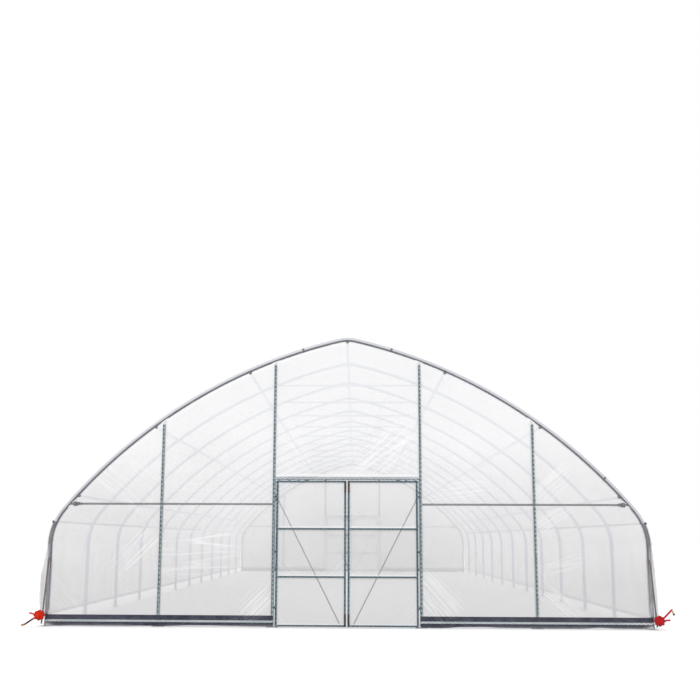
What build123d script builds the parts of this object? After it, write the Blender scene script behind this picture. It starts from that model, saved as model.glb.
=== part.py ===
"""Gothic-arch polytunnel: bent tube arches on base plates, purlins, collar ties, stretched film,
roll-up side curtains with hand winches, and a framed end wall with a pair of doors at each end.

Millimetres. The origin is on the ground at the middle of the plan, X runs across the tunnel,
+Y runs along it from the front end to the rear end, and Z is up.
"""
import os
from math import acos, asin, atan2, cos, degrees, radians, sin, sqrt, tan

from build123d import *

# Overall form
SPAN = 9144.0  # outside to outside of the legs
BAY = 1524.0  # spacing of the arches
BAYS = 12
SEAT = 0.3  # gap between pieces that bear on each other
OVERRUN = 20.0  # how far a cutting shape passes the face it cuts

# Arch tubes, sizes on the centreline
TUBE_R = 30.0
LEG_H = 1224.0  # straight leg, from the ground
HIP_R = 866.0
HIP_TURN = 39.2  # degrees turned by the bend at the hip
RAFTER_R = 7771.0
RIDGE_R = 550.0

# Purlins and collar ties
PURLIN_R = 17.0
PURLIN_END_INSET = 5.0  # from the outer face of the end arches
PURLIN_SHARES = (0.058, 0.371, 0.706)  # of the rafter's sweep, from the hip up
TIE_R = 16.0
TIE_DROP = 395.0  # below the ridge's centreline

# Base plates
PLATE_LONG = 170.0
PLATE_MARGIN = 35.0  # either side of a tube
PLATE_T = 8.0
ANCHOR_R = 7.0
ANCHOR_SPACING = 120.0

# Films and skirts
FILM_T = 4.0
WALL_FILM_T = 3.0
WALL_FILM_LOW = 40.0  # lower edge of the end film
EDGE_IN = 30.0  # film, skirt and base channel, in from the arch's outer side
SKIRT_T = 3.0
SKIRT_H = 168.0
SKIRT_LIFT = 1.0  # above the base plates
FILM_SPLIT = 2.0  # between the two end films held by one door post

# Lock channels that clamp the film's edges
LOCK_W = 32.0
LOCK_D = 14.0
LOCK_WALL = 2.0
LOCK_LIP = 8.0
LOCK_STOP = 60.0  # from the top of a post's channel to the arch
LOCK_GAP = 4.0  # between the ends of two channels
BASE_LOCK_Z = 90.0
HIP_RAIL_TURN = 22.6  # degrees up the hip bend

# Roll-up side curtains
CURTAIN_T = 3.0
ROLL_R = 24.0  # wound film
CORE_R = 10.0
LEFT_ROLL_Z = 172.0
RIGHT_ROLL_Z = 140.0
ROLL_CLEAR = 5.0  # from the legs
CORE_GRIP = 20.0  # length of the core held in the winch

# End walls
POST_W = 46.0
MID_POST_X = 2841.0
DOORWAY_W = 2192.0
DOORWAY_H = 2222.0
HEADER_H = 44.0
GIRT_R = 17.0
GIRT_Z = 1845.0
GIRT_FLAT_LEN = 130.0
GIRT_FLAT_T = 8.0
GIRT_FLAT_H = 44.0
BASE_RAIL_W = 40.0

# Door leaves
LEAF_TUBE = 28.0
LEAF_SIDE_GAP = 20.0
LEAF_MEET_GAP = 24.0
LEAF_FLOOR_GAP = 20.0
LEAF_TOP_GAP = 19.0
LEAF_PROUD = 19.0  # leaf face ahead of the posts' face
LEAF_RAILS = 4
LEAF_RAIL_H = 24.0
BRACE_R = 10.0
BRACE_TOP_SHARE = 0.875  # of the leaf's height, at the hinge side
BRACE_FOOT_SHARE = 0.075  # of the leaf's width, from the meeting edge
LEAF_FILM_INSET = 4.0

# Door hinges
HINGE_SET = 3.0  # pin's axis from the post's inner side
HINGE_PROUD = 12.0  # pin's axis ahead of the leaf's face
HINGE_SHARES = (0.12, 0.5, 0.88)  # of the leaf's height
PIN_R = 4.0
PIN_H = 40.0
EYE_R = 8.0
EYE_H = 30.0
EYE_LIFT = 1.0
EYE_CLEAR = 0.4
HINGE_PLATE_T = 8.0
HINGE_PLATE_LAP = 30.0  # along the post's side
LUG_LAP = 19.0  # along the leaf's side
LUG_T = 15.0

# Winches and their guide rods
ROD_R = 11.0
ROD_OUT = 54.0  # rod's axis ahead of the posts' face
ROD_TOP_Z = 1010.0
ROD_TOP_IN = 55.0  # inside the leg's outer side
ROD_FOOT_Z = 45.0
ROD_FOOT_OUT = 7.0  # beyond the leg's outer side
ROD_BEND_R = 35.0
SLEEVE_R = 16.5
SLEEVE_LEN = 110.0
SLEEVE_CLEAR = 1.0
WINCH_BITE = 5.0  # sleeve sunk into the back of the gear case
CASE_R = 64.0
CASE_DEPTH = 50.0
LOBES = 8
LOBE_R = 17.0
LOBE_PCD_R = 61.0
COVER_R = 46.0
COVER_T = 6.0
HOLD_R = 12.0
HOLD_REACH = 155.0  # from the winch's axis to the end of the fixed handle
LEFT_HOLD_TURN = 12.0  # degrees above level
RIGHT_HOLD_TURN = 5.0
SHAFT_R = 10.0
SHAFT_CLEAR = 0.4
SHAFT_DEPTH = 32.0

# Cranks
CRANK_GAP = 6.0
CRANK_REACH = 236.0
CRANK_W = 24.0
CRANK_T = 9.0
HUB_R = 21.0
HUB_T = 18.0
GRIP_R = 14.0
GRIP_LEN = 60.0
GRIP_BOLT_R = 5.0
GRIP_CLEAR = 0.5
KNOB_R = 16.0
KNOB_T = 14.0
LEFT_CRANK_TURN = -34.0  # degrees above level, pointing outward
RIGHT_CRANK_TURN = 45.0
LEFT_GRIP_TILT = 0.0  # degrees the grip hangs below its straight position
RIGHT_GRIP_TILT = 47.0

# Places worked out from the sizes
LEG_X = SPAN / 2 - TUBE_R
WALL_EDGE_X = SPAN / 2 - EDGE_IN
PLATE_WIDE = 2 * (TUBE_R + PLATE_MARGIN)
FRONT_Y = -BAY * BAYS / 2
WALL_FACE = FRONT_Y - TUBE_R
POST_X = (DOORWAY_W + POST_W) / 2
POST_Y = WALL_FACE + POST_W / 2
HEADER_Z = DOORWAY_H + HEADER_H / 2
ROLL_X = SPAN / 2 + ROLL_CLEAR + ROLL_R
ROD_Y = WALL_FACE - ROD_OUT
CASE_BACK = ROD_Y - SLEEVE_R + WINCH_BITE
CASE_FACE = CASE_BACK - CASE_DEPTH
COVER_FACE = CASE_FACE - COVER_T
FILM_BACK = WALL_FACE - SEAT
FILM_FACE = FILM_BACK - WALL_FILM_T
SKIRT_BACK = FILM_FACE - SEAT
SKIRT_FACE = SKIRT_BACK - SKIRT_T
SKIRT_LOW = PLATE_T + SKIRT_LIFT
LEAF_FACE = WALL_FACE - LEAF_PROUD
LEAF_EDGE = DOORWAY_W / 2 - LEAF_SIDE_GAP
LEAF_LOW = LEAF_FLOOR_GAP
LEAF_HIGH = DOORWAY_H - LEAF_TOP_GAP
LEAF_H = LEAF_HIGH - LEAF_LOW
LEAF_W = LEAF_EDGE - LEAF_MEET_GAP / 2
HINGE_X = DOORWAY_W / 2 - HINGE_SET
HINGE_Y = LEAF_FACE - HINGE_PROUD


def polar(centre, radius, angle):
    """Point in the X-Z plane at an angle, in degrees, about a centre."""
    return (centre[0] + radius * cos(radians(angle)), centre[1] + radius * sin(radians(angle)))


# The arch's centreline: tangent arcs from the right leg over the ridge to the left leg
HIP_CENTRE = (LEG_X - HIP_R, LEG_H)
RAFTER_CENTRE = polar(polar(HIP_CENTRE, HIP_R, HIP_TURN), -RAFTER_R, HIP_TURN)
RIDGE_CENTRE = (0, RAFTER_CENTRE[1] + sqrt((RAFTER_R - RIDGE_R) ** 2 - RAFTER_CENTRE[0] ** 2))
RIDGE_TURN = degrees(atan2(RIDGE_CENTRE[1] - RAFTER_CENTRE[1], -RAFTER_CENTRE[0]))
RIDGE_Z = RIDGE_CENTRE[1] + RIDGE_R


def across(point):
    """The mirrored point on the other side of the tunnel."""
    return (-point[0], point[1])


def arch_arcs(low_turn):
    """Centre, radius, start and end of each arc, from low_turn on the right hip to the left hip."""
    return [
        (HIP_CENTRE, HIP_R, low_turn, HIP_TURN),
        (RAFTER_CENTRE, RAFTER_R, HIP_TURN, RIDGE_TURN),
        (RIDGE_CENTRE, RIDGE_R, RIDGE_TURN, 180 - RIDGE_TURN),
        (across(RAFTER_CENTRE), RAFTER_R, 180 - RIDGE_TURN, 180 - HIP_TURN),
        (across(HIP_CENTRE), HIP_R, 180 - HIP_TURN, 180 - low_turn),
    ]


def arch_height(x, offset):
    """Height, at a distance x from the middle, of the line offset from the arch's centreline."""
    for centre, radius, start, end in arch_arcs(0)[:3]:
        angle = degrees(acos(max(-1, min(1, (abs(x) - centre[0]) / (radius + offset)))))
        if start <= angle <= end:
            return polar(centre, radius + offset, angle)[1]
    return LEG_H


def rafter_x(z):
    """Distance from the middle, at a height on the rafter, of the arch's underside."""
    angle = degrees(asin((z - RAFTER_CENTRE[1]) / (RAFTER_R - TUBE_R)))
    return polar(RAFTER_CENTRE, RAFTER_R - TUBE_R, angle)[0]


def block(x_span, y_span, z_span):
    """Box between two limits along each axis."""
    spans = (x_span, y_span, z_span)
    centre = [(low + high) / 2 for low, high in spans]
    return Pos(*centre) * Box(*[abs(high - low) for low, high in spans])


def rod(start, end, radius):
    """Round bar between two points."""
    axis = Vector(*end) - Vector(*start)
    return extrude(Plane(origin=start, z_dir=axis) * Circle(radius), amount=axis.length)


def prism(face, y_low, y_high):
    """Solid drawn as a face in X-Z and run along Y."""
    plane = Plane(origin=(0, y_high, 0), x_dir=(1, 0, 0), z_dir=(0, -1, 0))
    return extrude(plane * face, amount=y_high - y_low)


def bend(centre, radius, start, end, y):
    """Tube bent round a centre in the plane of an arch."""
    x, z = polar(centre, radius, start)
    tangent = (-sin(radians(start)), 0, cos(radians(start)))
    section = Plane(origin=(x, y, z), x_dir=(0, 1, 0), z_dir=tangent) * Circle(TUBE_R)
    return revolve(section, Axis((centre[0], y, centre[1]), (0, -1, 0)), end - start)


def outline(offset, low):
    """Face inside the line offset from the arch's centreline, cut off level at the bottom."""
    x = LEG_X + offset
    edges = [Line((x, low), (x, LEG_H))]
    edges += [CenterArc(c, r + offset, a, b - a) for c, r, a, b in arch_arcs(0)]
    edges += [Line((-x, LEG_H), (-x, low)), Line((-x, low), (x, low))]
    return make_face(edges)


def band(arcs, thickness):
    """Face between a chain of arcs and its copy, thickness further out; a sign tells which way is out."""
    edges = []
    for centre, radius, start, end, out in arcs:
        edges.append(CenterArc(centre, radius, start, end - start))
        edges.append(CenterArc(centre, radius + out * thickness, start, end - start))
    for centre, radius, angle, out in ((*arcs[0][:3], arcs[0][4]), (*arcs[-1][:2], *arcs[-1][3:])):
        edges.append(Line(polar(centre, radius, angle), polar(centre, radius + out * thickness, angle)))
    return make_face(edges)


def lock_channel(start, end, outward, width=LOCK_W):
    """C-section channel with its back on the line from start to end and its mouth outward."""
    run = Vector(*end) - Vector(*start)
    plane = Plane(origin=start, x_dir=Vector(*outward).cross(run), z_dir=run)
    middle = Pos(0, LOCK_D / 2)
    mouth = Pos(0, LOCK_D) * Rectangle(width - 2 * LOCK_LIP, LOCK_D)
    hollow = middle * Rectangle(width - 2 * LOCK_WALL, LOCK_D - 2 * LOCK_WALL)
    section = middle * Rectangle(width, LOCK_D) - hollow - mouth
    return extrude(plane * section, amount=run.length)


def left_right(right):
    """A right-hand piece and its mirror image on the left."""
    return [mirror(right, about=Plane.YZ), right]


def to_side(side, right):
    """A right-hand piece, mirrored if it is wanted on the left."""
    return mirror(right, about=Plane.YZ) if side == "left" else right


def rear(piece):
    """The same piece at the rear end."""
    return mirror(piece, about=Plane.XZ)


def node(name, *pieces):
    """Write the solids of one named sub-part."""
    solids = [solid for piece in pieces for solid in piece.solids()]
    shape = solids[0] if len(solids) == 1 else Compound(solids)
    export_step(shape, f"parts/{name}.step")


def arch(y):
    """Two legs bent at the hip, two rafters and the bent ridge piece, butted at their joints."""
    hip_gap = degrees(SEAT / RAFTER_R)
    ridge_gap = degrees(SEAT / RIDGE_R)
    leg = rod((LEG_X, y, PLATE_T), (LEG_X, y, LEG_H), TUBE_R) + bend(HIP_CENTRE, HIP_R, 0, HIP_TURN, y)
    rafter = bend(RAFTER_CENTRE, RAFTER_R, HIP_TURN + hip_gap, RIDGE_TURN, y)
    ridge = bend(RIDGE_CENTRE, RIDGE_R, RIDGE_TURN + ridge_gap, 180 - RIDGE_TURN - ridge_gap, y)
    return [*left_right(leg), *left_right(rafter), ridge]


def purlins():
    """Ridge purlin and three a side, clamped under the arches."""
    y_end = FRONT_Y - TUBE_R + PURLIN_END_INSET
    drop = TUBE_R + SEAT + PURLIN_R
    ridge_z = RIDGE_Z - drop
    tubes = [rod((0, y_end, ridge_z), (0, -y_end, ridge_z), PURLIN_R)]
    for share in PURLIN_SHARES:
        angle = HIP_TURN + share * (RIDGE_TURN - HIP_TURN)
        x, z = polar(RAFTER_CENTRE, RAFTER_R - drop, angle)
        tubes += left_right(rod((x, y_end, z), (x, -y_end, z), PURLIN_R))
    return tubes


def collar_ties():
    """One tie across each inner arch, cut to the underside of its rafters."""
    z = RIDGE_Z - TIE_DROP
    inside = prism(outline(-TUBE_R - SEAT, 0), -TUBE_R, TUBE_R)
    tie = rod((-LEG_X, 0, z), (LEG_X, 0, z), TIE_R) & inside
    return [Pos(0, FRONT_Y + BAY * index, 0) * tie for index in range(1, BAYS)]


def base_plate(x, y, along_y):
    """Anchor plate with two bolt holes."""
    hole = Pos(0, ANCHOR_SPACING / 2) * Circle(ANCHOR_R)
    face = Rectangle(PLATE_WIDE, PLATE_LONG) - hole - mirror(hole, about=Plane.XZ)
    turn = 0 if along_y else 90
    return Pos(x, y) * (Rot(0, 0, turn) * extrude(face, amount=PLATE_T))


def base_plates():
    """Plates under every leg and every end post."""
    plates = []
    for index in range(BAYS + 1):
        plates += left_right(base_plate(LEG_X, FRONT_Y + BAY * index, True))
    for x in (POST_X, MID_POST_X):
        for plate in left_right(base_plate(x, POST_Y, False)):
            plates += [plate, rear(plate)]
    return plates


def roof_film():
    """Film over the arches, from one hip rail to the other."""
    reach = TUBE_R + SEAT
    low = HIP_RAIL_TURN + degrees((LOCK_W / 2 + SEAT) / (HIP_R + reach))
    arcs = [(c, r + reach, a, b, 1) for c, r, a, b in arch_arcs(low)]
    return prism(band(arcs, FILM_T), WALL_FACE, -WALL_FACE)


def hip_rail():
    """Lock channel along the right hip."""
    x, z = polar(HIP_CENTRE, HIP_R + TUBE_R + SEAT, HIP_RAIL_TURN)
    outward = (cos(radians(HIP_RAIL_TURN)), 0, sin(radians(HIP_RAIL_TURN)))
    return lock_channel((x, WALL_FACE, z), (x, -WALL_FACE, z), outward)


def curtain(roll_z):
    """Right side curtain: down the hip bend, then out in an S to a roll at a height."""
    reach = HIP_R + TUBE_R + SEAT
    top_turn = HIP_RAIL_TURN - degrees((LOCK_W / 2 + SEAT) / reach)
    x_top = HIP_CENTRE[0] + reach
    x_low = ROLL_X + ROLL_R + SEAT
    rise = (LEG_H - roll_z) / 2
    swell = (x_low - x_top) / 2
    s_radius = (rise**2 + swell**2) / (2 * swell)
    s_turn = degrees(asin(rise / s_radius))
    arcs = [
        (HIP_CENTRE, reach, top_turn, 0, 1),
        ((x_top + s_radius, LEG_H), s_radius, 180, 180 + s_turn, -1),
        ((x_low - s_radius, roll_z), s_radius, s_turn, 0, 1),
    ]
    return prism(band(arcs, CURTAIN_T), WALL_FACE, -WALL_FACE)


def roll_tube(roll_z):
    """Right roll: core tube held by the winch, with the curtain's tail wound on it."""
    core = rod((ROLL_X, CASE_BACK - CORE_GRIP, roll_z), (ROLL_X, -WALL_FACE, roll_z), CORE_R)
    return core + rod((ROLL_X, WALL_FACE, roll_z), (ROLL_X, -WALL_FACE, roll_z), ROLL_R)


ROD_TOP_X = SPAN / 2 - ROD_TOP_IN
ROD_LEAN = (SPAN / 2 + ROD_FOOT_OUT - ROD_TOP_X) / (ROD_TOP_Z - ROD_FOOT_Z)


def rod_point(z):
    """Point at a height on the guide rod's axis."""
    return (ROD_TOP_X + ROD_LEAN * (ROD_TOP_Z - z), ROD_Y, z)


def guide_rod():
    """Right guide rod, its top turned in to the film over the front leg."""
    top = rod_point(ROD_TOP_Z)
    path = FilletPolyline(rod_point(ROD_FOOT_Z), top, (top[0], FILM_FACE - SEAT, top[2]), radius=ROD_BEND_R)
    return sweep(Plane(origin=path @ 0, z_dir=path % 0) * Circle(ROD_R), path=path)


def winch(roll_z, hold_turn):
    """Right winch: scalloped gear case, cover, sleeve on the guide rod and fixed hand-hold."""
    case = Circle(CASE_R) + PolarLocations(LOBE_PCD_R, LOBES) * Circle(LOBE_R)
    place = Pos(ROLL_X, roll_z)
    body = prism(place * case, CASE_FACE, CASE_BACK) + prism(place * Circle(COVER_R), COVER_FACE, CASE_FACE)
    low, high = rod_point(roll_z - SLEEVE_LEN / 2), rod_point(roll_z + SLEEVE_LEN / 2)
    hold_y = (CASE_FACE + CASE_BACK) / 2
    x, z = polar((ROLL_X, roll_z), HOLD_REACH, hold_turn)
    body += rod(low, high, SLEEVE_R) + rod((ROLL_X, hold_y, roll_z), (x, hold_y, z), HOLD_R)
    bore_low, bore_high = rod_point(roll_z - SLEEVE_LEN), rod_point(roll_z + SLEEVE_LEN)
    body -= rod(bore_low, bore_high, ROD_R + SLEEVE_CLEAR)
    shaft_mouth, shaft_end = COVER_FACE - OVERRUN, COVER_FACE + SHAFT_DEPTH
    body -= rod((ROLL_X, shaft_mouth, roll_z), (ROLL_X, shaft_end, roll_z), SHAFT_R + SHAFT_CLEAR)
    core_end = CASE_BACK - CORE_GRIP - SEAT
    return body - rod((ROLL_X, core_end, roll_z), (ROLL_X, CASE_BACK + OVERRUN, roll_z), CORE_R + SEAT)


ARM_BACK = COVER_FACE - CRANK_GAP
ARM_FACE = ARM_BACK - CRANK_T


def grip_point(roll_z, turn, tilt, distance):
    """Point on the axis of the right crank's grip, at a distance from the face of the arm."""
    x, z = polar((ROLL_X, roll_z), CRANK_REACH, turn)
    return (x, ARM_FACE - distance * cos(radians(tilt)), z - distance * sin(radians(tilt)))


def grip_neck(tilt):
    """Distance along the grip's axis from the arm to the sleeve, so that its rim clears the arm."""
    return GRIP_R * tan(radians(tilt)) + GRIP_CLEAR


def crank(roll_z, turn, tilt):
    """Right crank: shaft, hub, flat arm with round ends and the bolt that carries the grip."""
    shaft = rod((ROLL_X, COVER_FACE + SHAFT_DEPTH - SEAT, roll_z), (ROLL_X, ARM_BACK, roll_z), SHAFT_R)
    hub = rod((ROLL_X, ARM_BACK, roll_z), (ROLL_X, ARM_BACK - HUB_T, roll_z), HUB_R)
    arm = Pos(CRANK_REACH / 2, 0) * SlotCenterToCenter(CRANK_REACH, CRANK_W)
    flat = prism(Pos(ROLL_X, roll_z) * (Rot(0, 0, turn) * arm), ARM_FACE, ARM_BACK)
    root = grip_point(roll_z, turn, tilt, -CRANK_T / 2)
    bolt = rod(root, grip_point(roll_z, turn, tilt, grip_neck(tilt) + GRIP_LEN), GRIP_BOLT_R)
    return shaft + hub + flat + bolt


def grip(roll_z, turn, tilt):
    """Right crank's grip, a turned sleeve on the bolt, with the knob that closes it."""
    neck = grip_neck(tilt)
    start = grip_point(roll_z, turn, tilt, neck)
    end = grip_point(roll_z, turn, tilt, neck + GRIP_LEN + SEAT)
    knob_end = grip_point(roll_z, turn, tilt, neck + GRIP_LEN + SEAT + KNOB_T)
    bore_start = grip_point(roll_z, turn, tilt, neck - OVERRUN)
    return rod(start, end, GRIP_R) + rod(end, knob_end, KNOB_R) - rod(bore_start, end, GRIP_BOLT_R + SEAT)


def wall_frame():
    """End posts, door header, girts and base rails of the front end wall."""
    inside = prism(outline(-TUBE_R - SEAT, 0), WALL_FACE - OVERRUN, WALL_FACE + POST_W + OVERRUN)
    pieces = []
    for x in (POST_X, MID_POST_X):
        post = block((x - POST_W / 2, x + POST_W / 2), (WALL_FACE, WALL_FACE + POST_W), (PLATE_T, RIDGE_Z))
        pieces += left_right(post & inside)
    half_header = DOORWAY_W / 2 - SEAT
    header_y = (WALL_FACE, WALL_FACE + POST_W)
    pieces.append(block((-half_header, half_header), header_y, (DOORWAY_H, DOORWAY_H + HEADER_H)))
    girt_y = WALL_FACE + GIRT_R
    beside_post = POST_W / 2 + SEAT
    inner_span = (POST_X + beside_post, MID_POST_X - beside_post)
    outer_span = (MID_POST_X + beside_post, LEG_X - TUBE_R - SEAT)
    pieces += left_right(rod(*[(x, girt_y, GIRT_Z) for x in inner_span], GIRT_R))
    flat_x = rafter_x(GIRT_Z) - GIRT_FLAT_LEN
    tube = rod((outer_span[0], girt_y, GIRT_Z), (flat_x, girt_y, GIRT_Z), GIRT_R)
    flat_y = (girt_y - GIRT_FLAT_T / 2, girt_y + GIRT_FLAT_T / 2)
    flat_z = (GIRT_Z - GIRT_FLAT_H / 2, GIRT_Z + GIRT_FLAT_H / 2)
    flat = block((flat_x - GIRT_R, LEG_X), flat_y, flat_z) & inside
    pieces += left_right(tube + flat)
    rail_y = (WALL_FACE, WALL_FACE + BASE_RAIL_W)
    rail_z = (BASE_LOCK_Z - BASE_RAIL_W / 2, BASE_LOCK_Z + BASE_RAIL_W / 2)
    for rail_x in (inner_span, outer_span):
        pieces += left_right(block(rail_x, rail_y, rail_z))
    return pieces


def lock_channels():
    """Channels on the posts, the header and the base of the front end wall."""
    out = (0, -1, 0)
    on_film = FILM_FACE - SEAT
    pieces = []
    low = SKIRT_LOW + SKIRT_H + LOCK_GAP
    for x in (POST_X, MID_POST_X):
        high = arch_height(x + LOCK_W / 2, -TUBE_R) - LOCK_STOP
        pieces += left_right(lock_channel((x, on_film, low), (x, on_film, high), out))
    header_x = POST_X - LOCK_W / 2 - LOCK_GAP
    pieces.append(lock_channel((-header_x, on_film, HEADER_Z), (header_x, on_film, HEADER_Z), out))
    on_skirt = SKIRT_FACE - SEAT
    base_start = (POST_X - LOCK_W / 2, on_skirt, BASE_LOCK_Z)
    pieces += left_right(lock_channel(base_start, (WALL_EDGE_X, on_skirt, BASE_LOCK_Z), out))
    return pieces


def skirt():
    """Right strip of dark sheet along the foot of the front end wall, from the door post to the leg."""
    x_span = (POST_X - LOCK_W / 2, WALL_EDGE_X)
    return block(x_span, (SKIRT_FACE, SKIRT_BACK), (SKIRT_LOW, SKIRT_LOW + SKIRT_H))


def wall_film():
    """Film of the front end wall: one sheet each side of the doorway and one over it."""
    whole = prism(outline(TUBE_R - EDGE_IN, WALL_FILM_LOW), FILM_FACE, FILM_BACK)
    depth = (FILM_FACE - OVERRUN, FILM_BACK + OVERRUN)
    side = POST_X + FILM_SPLIT / 2
    over = POST_X - FILM_SPLIT / 2
    top = RIDGE_Z + OVERRUN
    right = whole & block((side, SPAN), depth, (0, top))
    return [*left_right(right), whole & block((-over, over), depth, (HEADER_Z, top))]


def leaf_rail_heights():
    """Heights of the middles of a leaf's rails, evenly spaced from its foot to its top."""
    pitch = (LEAF_H - LEAF_RAIL_H) / (LEAF_RAILS - 1)
    return [LEAF_LOW + LEAF_RAIL_H / 2 + pitch * index for index in range(LEAF_RAILS)]


def leaf_frame():
    """Right front leaf: welded tube frame, rails, brace and the eyes of its hinges."""
    depth = (LEAF_FACE, LEAF_FACE + LEAF_TUBE)
    meet = LEAF_MEET_GAP / 2
    frame = block((meet, meet + LEAF_TUBE), depth, (LEAF_LOW, LEAF_HIGH))
    frame += block((LEAF_EDGE - LEAF_TUBE, LEAF_EDGE), depth, (LEAF_LOW, LEAF_HIGH))
    for z in leaf_rail_heights():
        frame += block((meet, LEAF_EDGE), depth, (z - LEAF_RAIL_H / 2, z + LEAF_RAIL_H / 2))
    mid_y = LEAF_FACE + LEAF_TUBE / 2
    top = (LEAF_EDGE - LEAF_TUBE / 2, mid_y, LEAF_LOW + LEAF_H * BRACE_TOP_SHARE)
    foot = (meet + LEAF_W * BRACE_FOOT_SHARE, mid_y, LEAF_LOW + LEAF_RAIL_H / 2)
    frame += rod(foot, top, BRACE_R)
    for share in HINGE_SHARES:
        low = LEAF_LOW + LEAF_H * share + EYE_LIFT
        eye = rod((HINGE_X, HINGE_Y, low), (HINGE_X, HINGE_Y, low + EYE_H), EYE_R)
        lug_y = (HINGE_Y, LEAF_FACE + LUG_LAP)
        eye += block((LEAF_EDGE, LEAF_EDGE + LUG_T), lug_y, (low, low + EYE_H))
        bore_low, bore_high = low - OVERRUN, low + EYE_H + OVERRUN
        frame += eye - rod((HINGE_X, HINGE_Y, bore_low), (HINGE_X, HINGE_Y, bore_high), PIN_R + EYE_CLEAR)
    return frame


def leaf_film():
    """Film on the outer face of the right front leaf."""
    x_span = (LEAF_MEET_GAP / 2 + LEAF_FILM_INSET, LEAF_EDGE - LEAF_FILM_INSET)
    face = LEAF_FACE - SEAT
    z_span = (LEAF_LOW + LEAF_FILM_INSET, LEAF_HIGH - LEAF_FILM_INSET)
    return block(x_span, (face - WALL_FILM_T, face), z_span)


def leaf_channels():
    """Lock channels over the film of the right front leaf, on its stiles and between them on its rails."""
    out = (0, -1, 0)
    back = LEAF_FACE - SEAT - WALL_FILM_T - SEAT
    stiles = (LEAF_MEET_GAP / 2 + LEAF_TUBE / 2, LEAF_EDGE - LEAF_TUBE / 2)
    pieces = [lock_channel((x, back, LEAF_LOW), (x, back, LEAF_HIGH), out, LEAF_TUBE) for x in stiles]
    start = stiles[0] + LEAF_TUBE / 2 + LOCK_GAP
    end = stiles[1] - LEAF_TUBE / 2 - LOCK_GAP
    for z in leaf_rail_heights():
        pieces.append(lock_channel((start, back, z), (end, back, z), out, LEAF_RAIL_H))
    return pieces


def hinge_brackets():
    """Plates on the side of the right front door post, each with an upright pin."""
    brackets = []
    for share in HINGE_SHARES:
        top = LEAF_LOW + LEAF_H * share
        z_span = (top - HINGE_PLATE_T, top)
        plate = block((HINGE_X - EYE_R, DOORWAY_W / 2), (HINGE_Y, WALL_FACE + HINGE_PLATE_LAP), z_span)
        plate += rod((HINGE_X, HINGE_Y, z_span[0]), (HINGE_X, HINGE_Y, top), EYE_R)
        brackets.append(plate + rod((HINGE_X, HINGE_Y, top), (HINGE_X, HINGE_Y, top + PIN_H), PIN_R))
    return brackets


def both_ends(name, pieces):
    """A front node and its copy at the rear."""
    node(f"front_{name}", *pieces)
    node(f"rear_{name}", *[rear(piece) for piece in pieces])


os.makedirs("parts", exist_ok=True)

for index in range(BAYS + 1):
    node(f"arch_{index + 1:02d}", *arch(FRONT_Y + BAY * index))
node("purlins", *purlins())
node("collar_ties", *collar_ties())
node("base_plates", *base_plates())
node("roof_film", roof_film())
node("hip_rails", *left_right(hip_rail()))

rolls = []
for side, roll_z, hold_turn, crank_turn, tilt in (
    ("left", LEFT_ROLL_Z, LEFT_HOLD_TURN, LEFT_CRANK_TURN, LEFT_GRIP_TILT),
    ("right", RIGHT_ROLL_Z, RIGHT_HOLD_TURN, RIGHT_CRANK_TURN, RIGHT_GRIP_TILT),
):
    node(f"{side}_curtain", to_side(side, curtain(roll_z)))
    node(f"{side}_winch", to_side(side, winch(roll_z, hold_turn)))
    node(f"{side}_crank", to_side(side, crank(roll_z, crank_turn, tilt)))
    node(f"{side}_grip", to_side(side, grip(roll_z, crank_turn, tilt)))
    rolls.append(to_side(side, roll_tube(roll_z)))
node("roll_tubes", *rolls)
node("guide_rods", *left_right(guide_rod()))

both_ends("wall_frame", wall_frame())
both_ends("lock_channels", lock_channels())
both_ends("skirts", left_right(skirt()))
both_ends("film", wall_film())
left_channels, right_channels = zip(*[left_right(piece) for piece in leaf_channels()])
left_frame, right_frame = left_right(leaf_frame())
both_ends("left_leaf", [left_frame, *left_channels])
both_ends("right_leaf", [right_frame, *right_channels])
for side, film in zip(("left", "right"), left_right(leaf_film())):
    both_ends(f"{side}_leaf_film", [film])
brackets = [piece for bracket in hinge_brackets() for piece in left_right(bracket)]
node("hinge_brackets", *brackets, *[rear(piece) for piece in brackets])
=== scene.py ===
"""Dresses the polytunnel greenhouse: stretched films, spring wire, fastenings, finishes, light and camera.

Metres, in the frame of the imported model: X across the tunnel, +Y from the front end to the rear end, Z up.
"""
from math import acos, atan2, ceil, cos, degrees, pi, radians, sin, sqrt

import bpy
import numpy as np
from mathutils import Matrix, Vector


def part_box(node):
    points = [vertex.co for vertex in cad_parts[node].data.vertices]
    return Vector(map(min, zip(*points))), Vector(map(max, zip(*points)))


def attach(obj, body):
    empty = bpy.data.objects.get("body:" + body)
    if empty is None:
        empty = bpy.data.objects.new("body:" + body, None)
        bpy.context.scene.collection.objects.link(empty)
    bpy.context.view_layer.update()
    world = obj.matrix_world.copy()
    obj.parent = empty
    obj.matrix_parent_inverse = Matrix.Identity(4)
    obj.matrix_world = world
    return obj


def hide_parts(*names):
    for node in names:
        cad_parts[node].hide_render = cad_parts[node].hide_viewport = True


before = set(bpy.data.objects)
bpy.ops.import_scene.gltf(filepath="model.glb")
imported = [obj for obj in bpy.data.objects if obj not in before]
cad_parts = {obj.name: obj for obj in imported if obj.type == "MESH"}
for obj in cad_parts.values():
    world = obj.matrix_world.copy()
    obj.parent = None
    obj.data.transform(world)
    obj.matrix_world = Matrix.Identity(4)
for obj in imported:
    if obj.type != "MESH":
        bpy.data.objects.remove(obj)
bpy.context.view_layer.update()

# Camera, found from the photograph's perspective
CAMERA_AT = Vector((0.129, -19.810, 1.314))
CAMERA_YAW, CAMERA_PITCH, CAMERA_ROLL = -1.184, 6.911, 0.215  # degrees
FOCAL_PX = 696.5
CENTRE_PX = (341.2, 455.0)
IMAGE_PX = 700
SENSOR_MM = 36.0
CAMERA_REACH = 500

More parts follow.
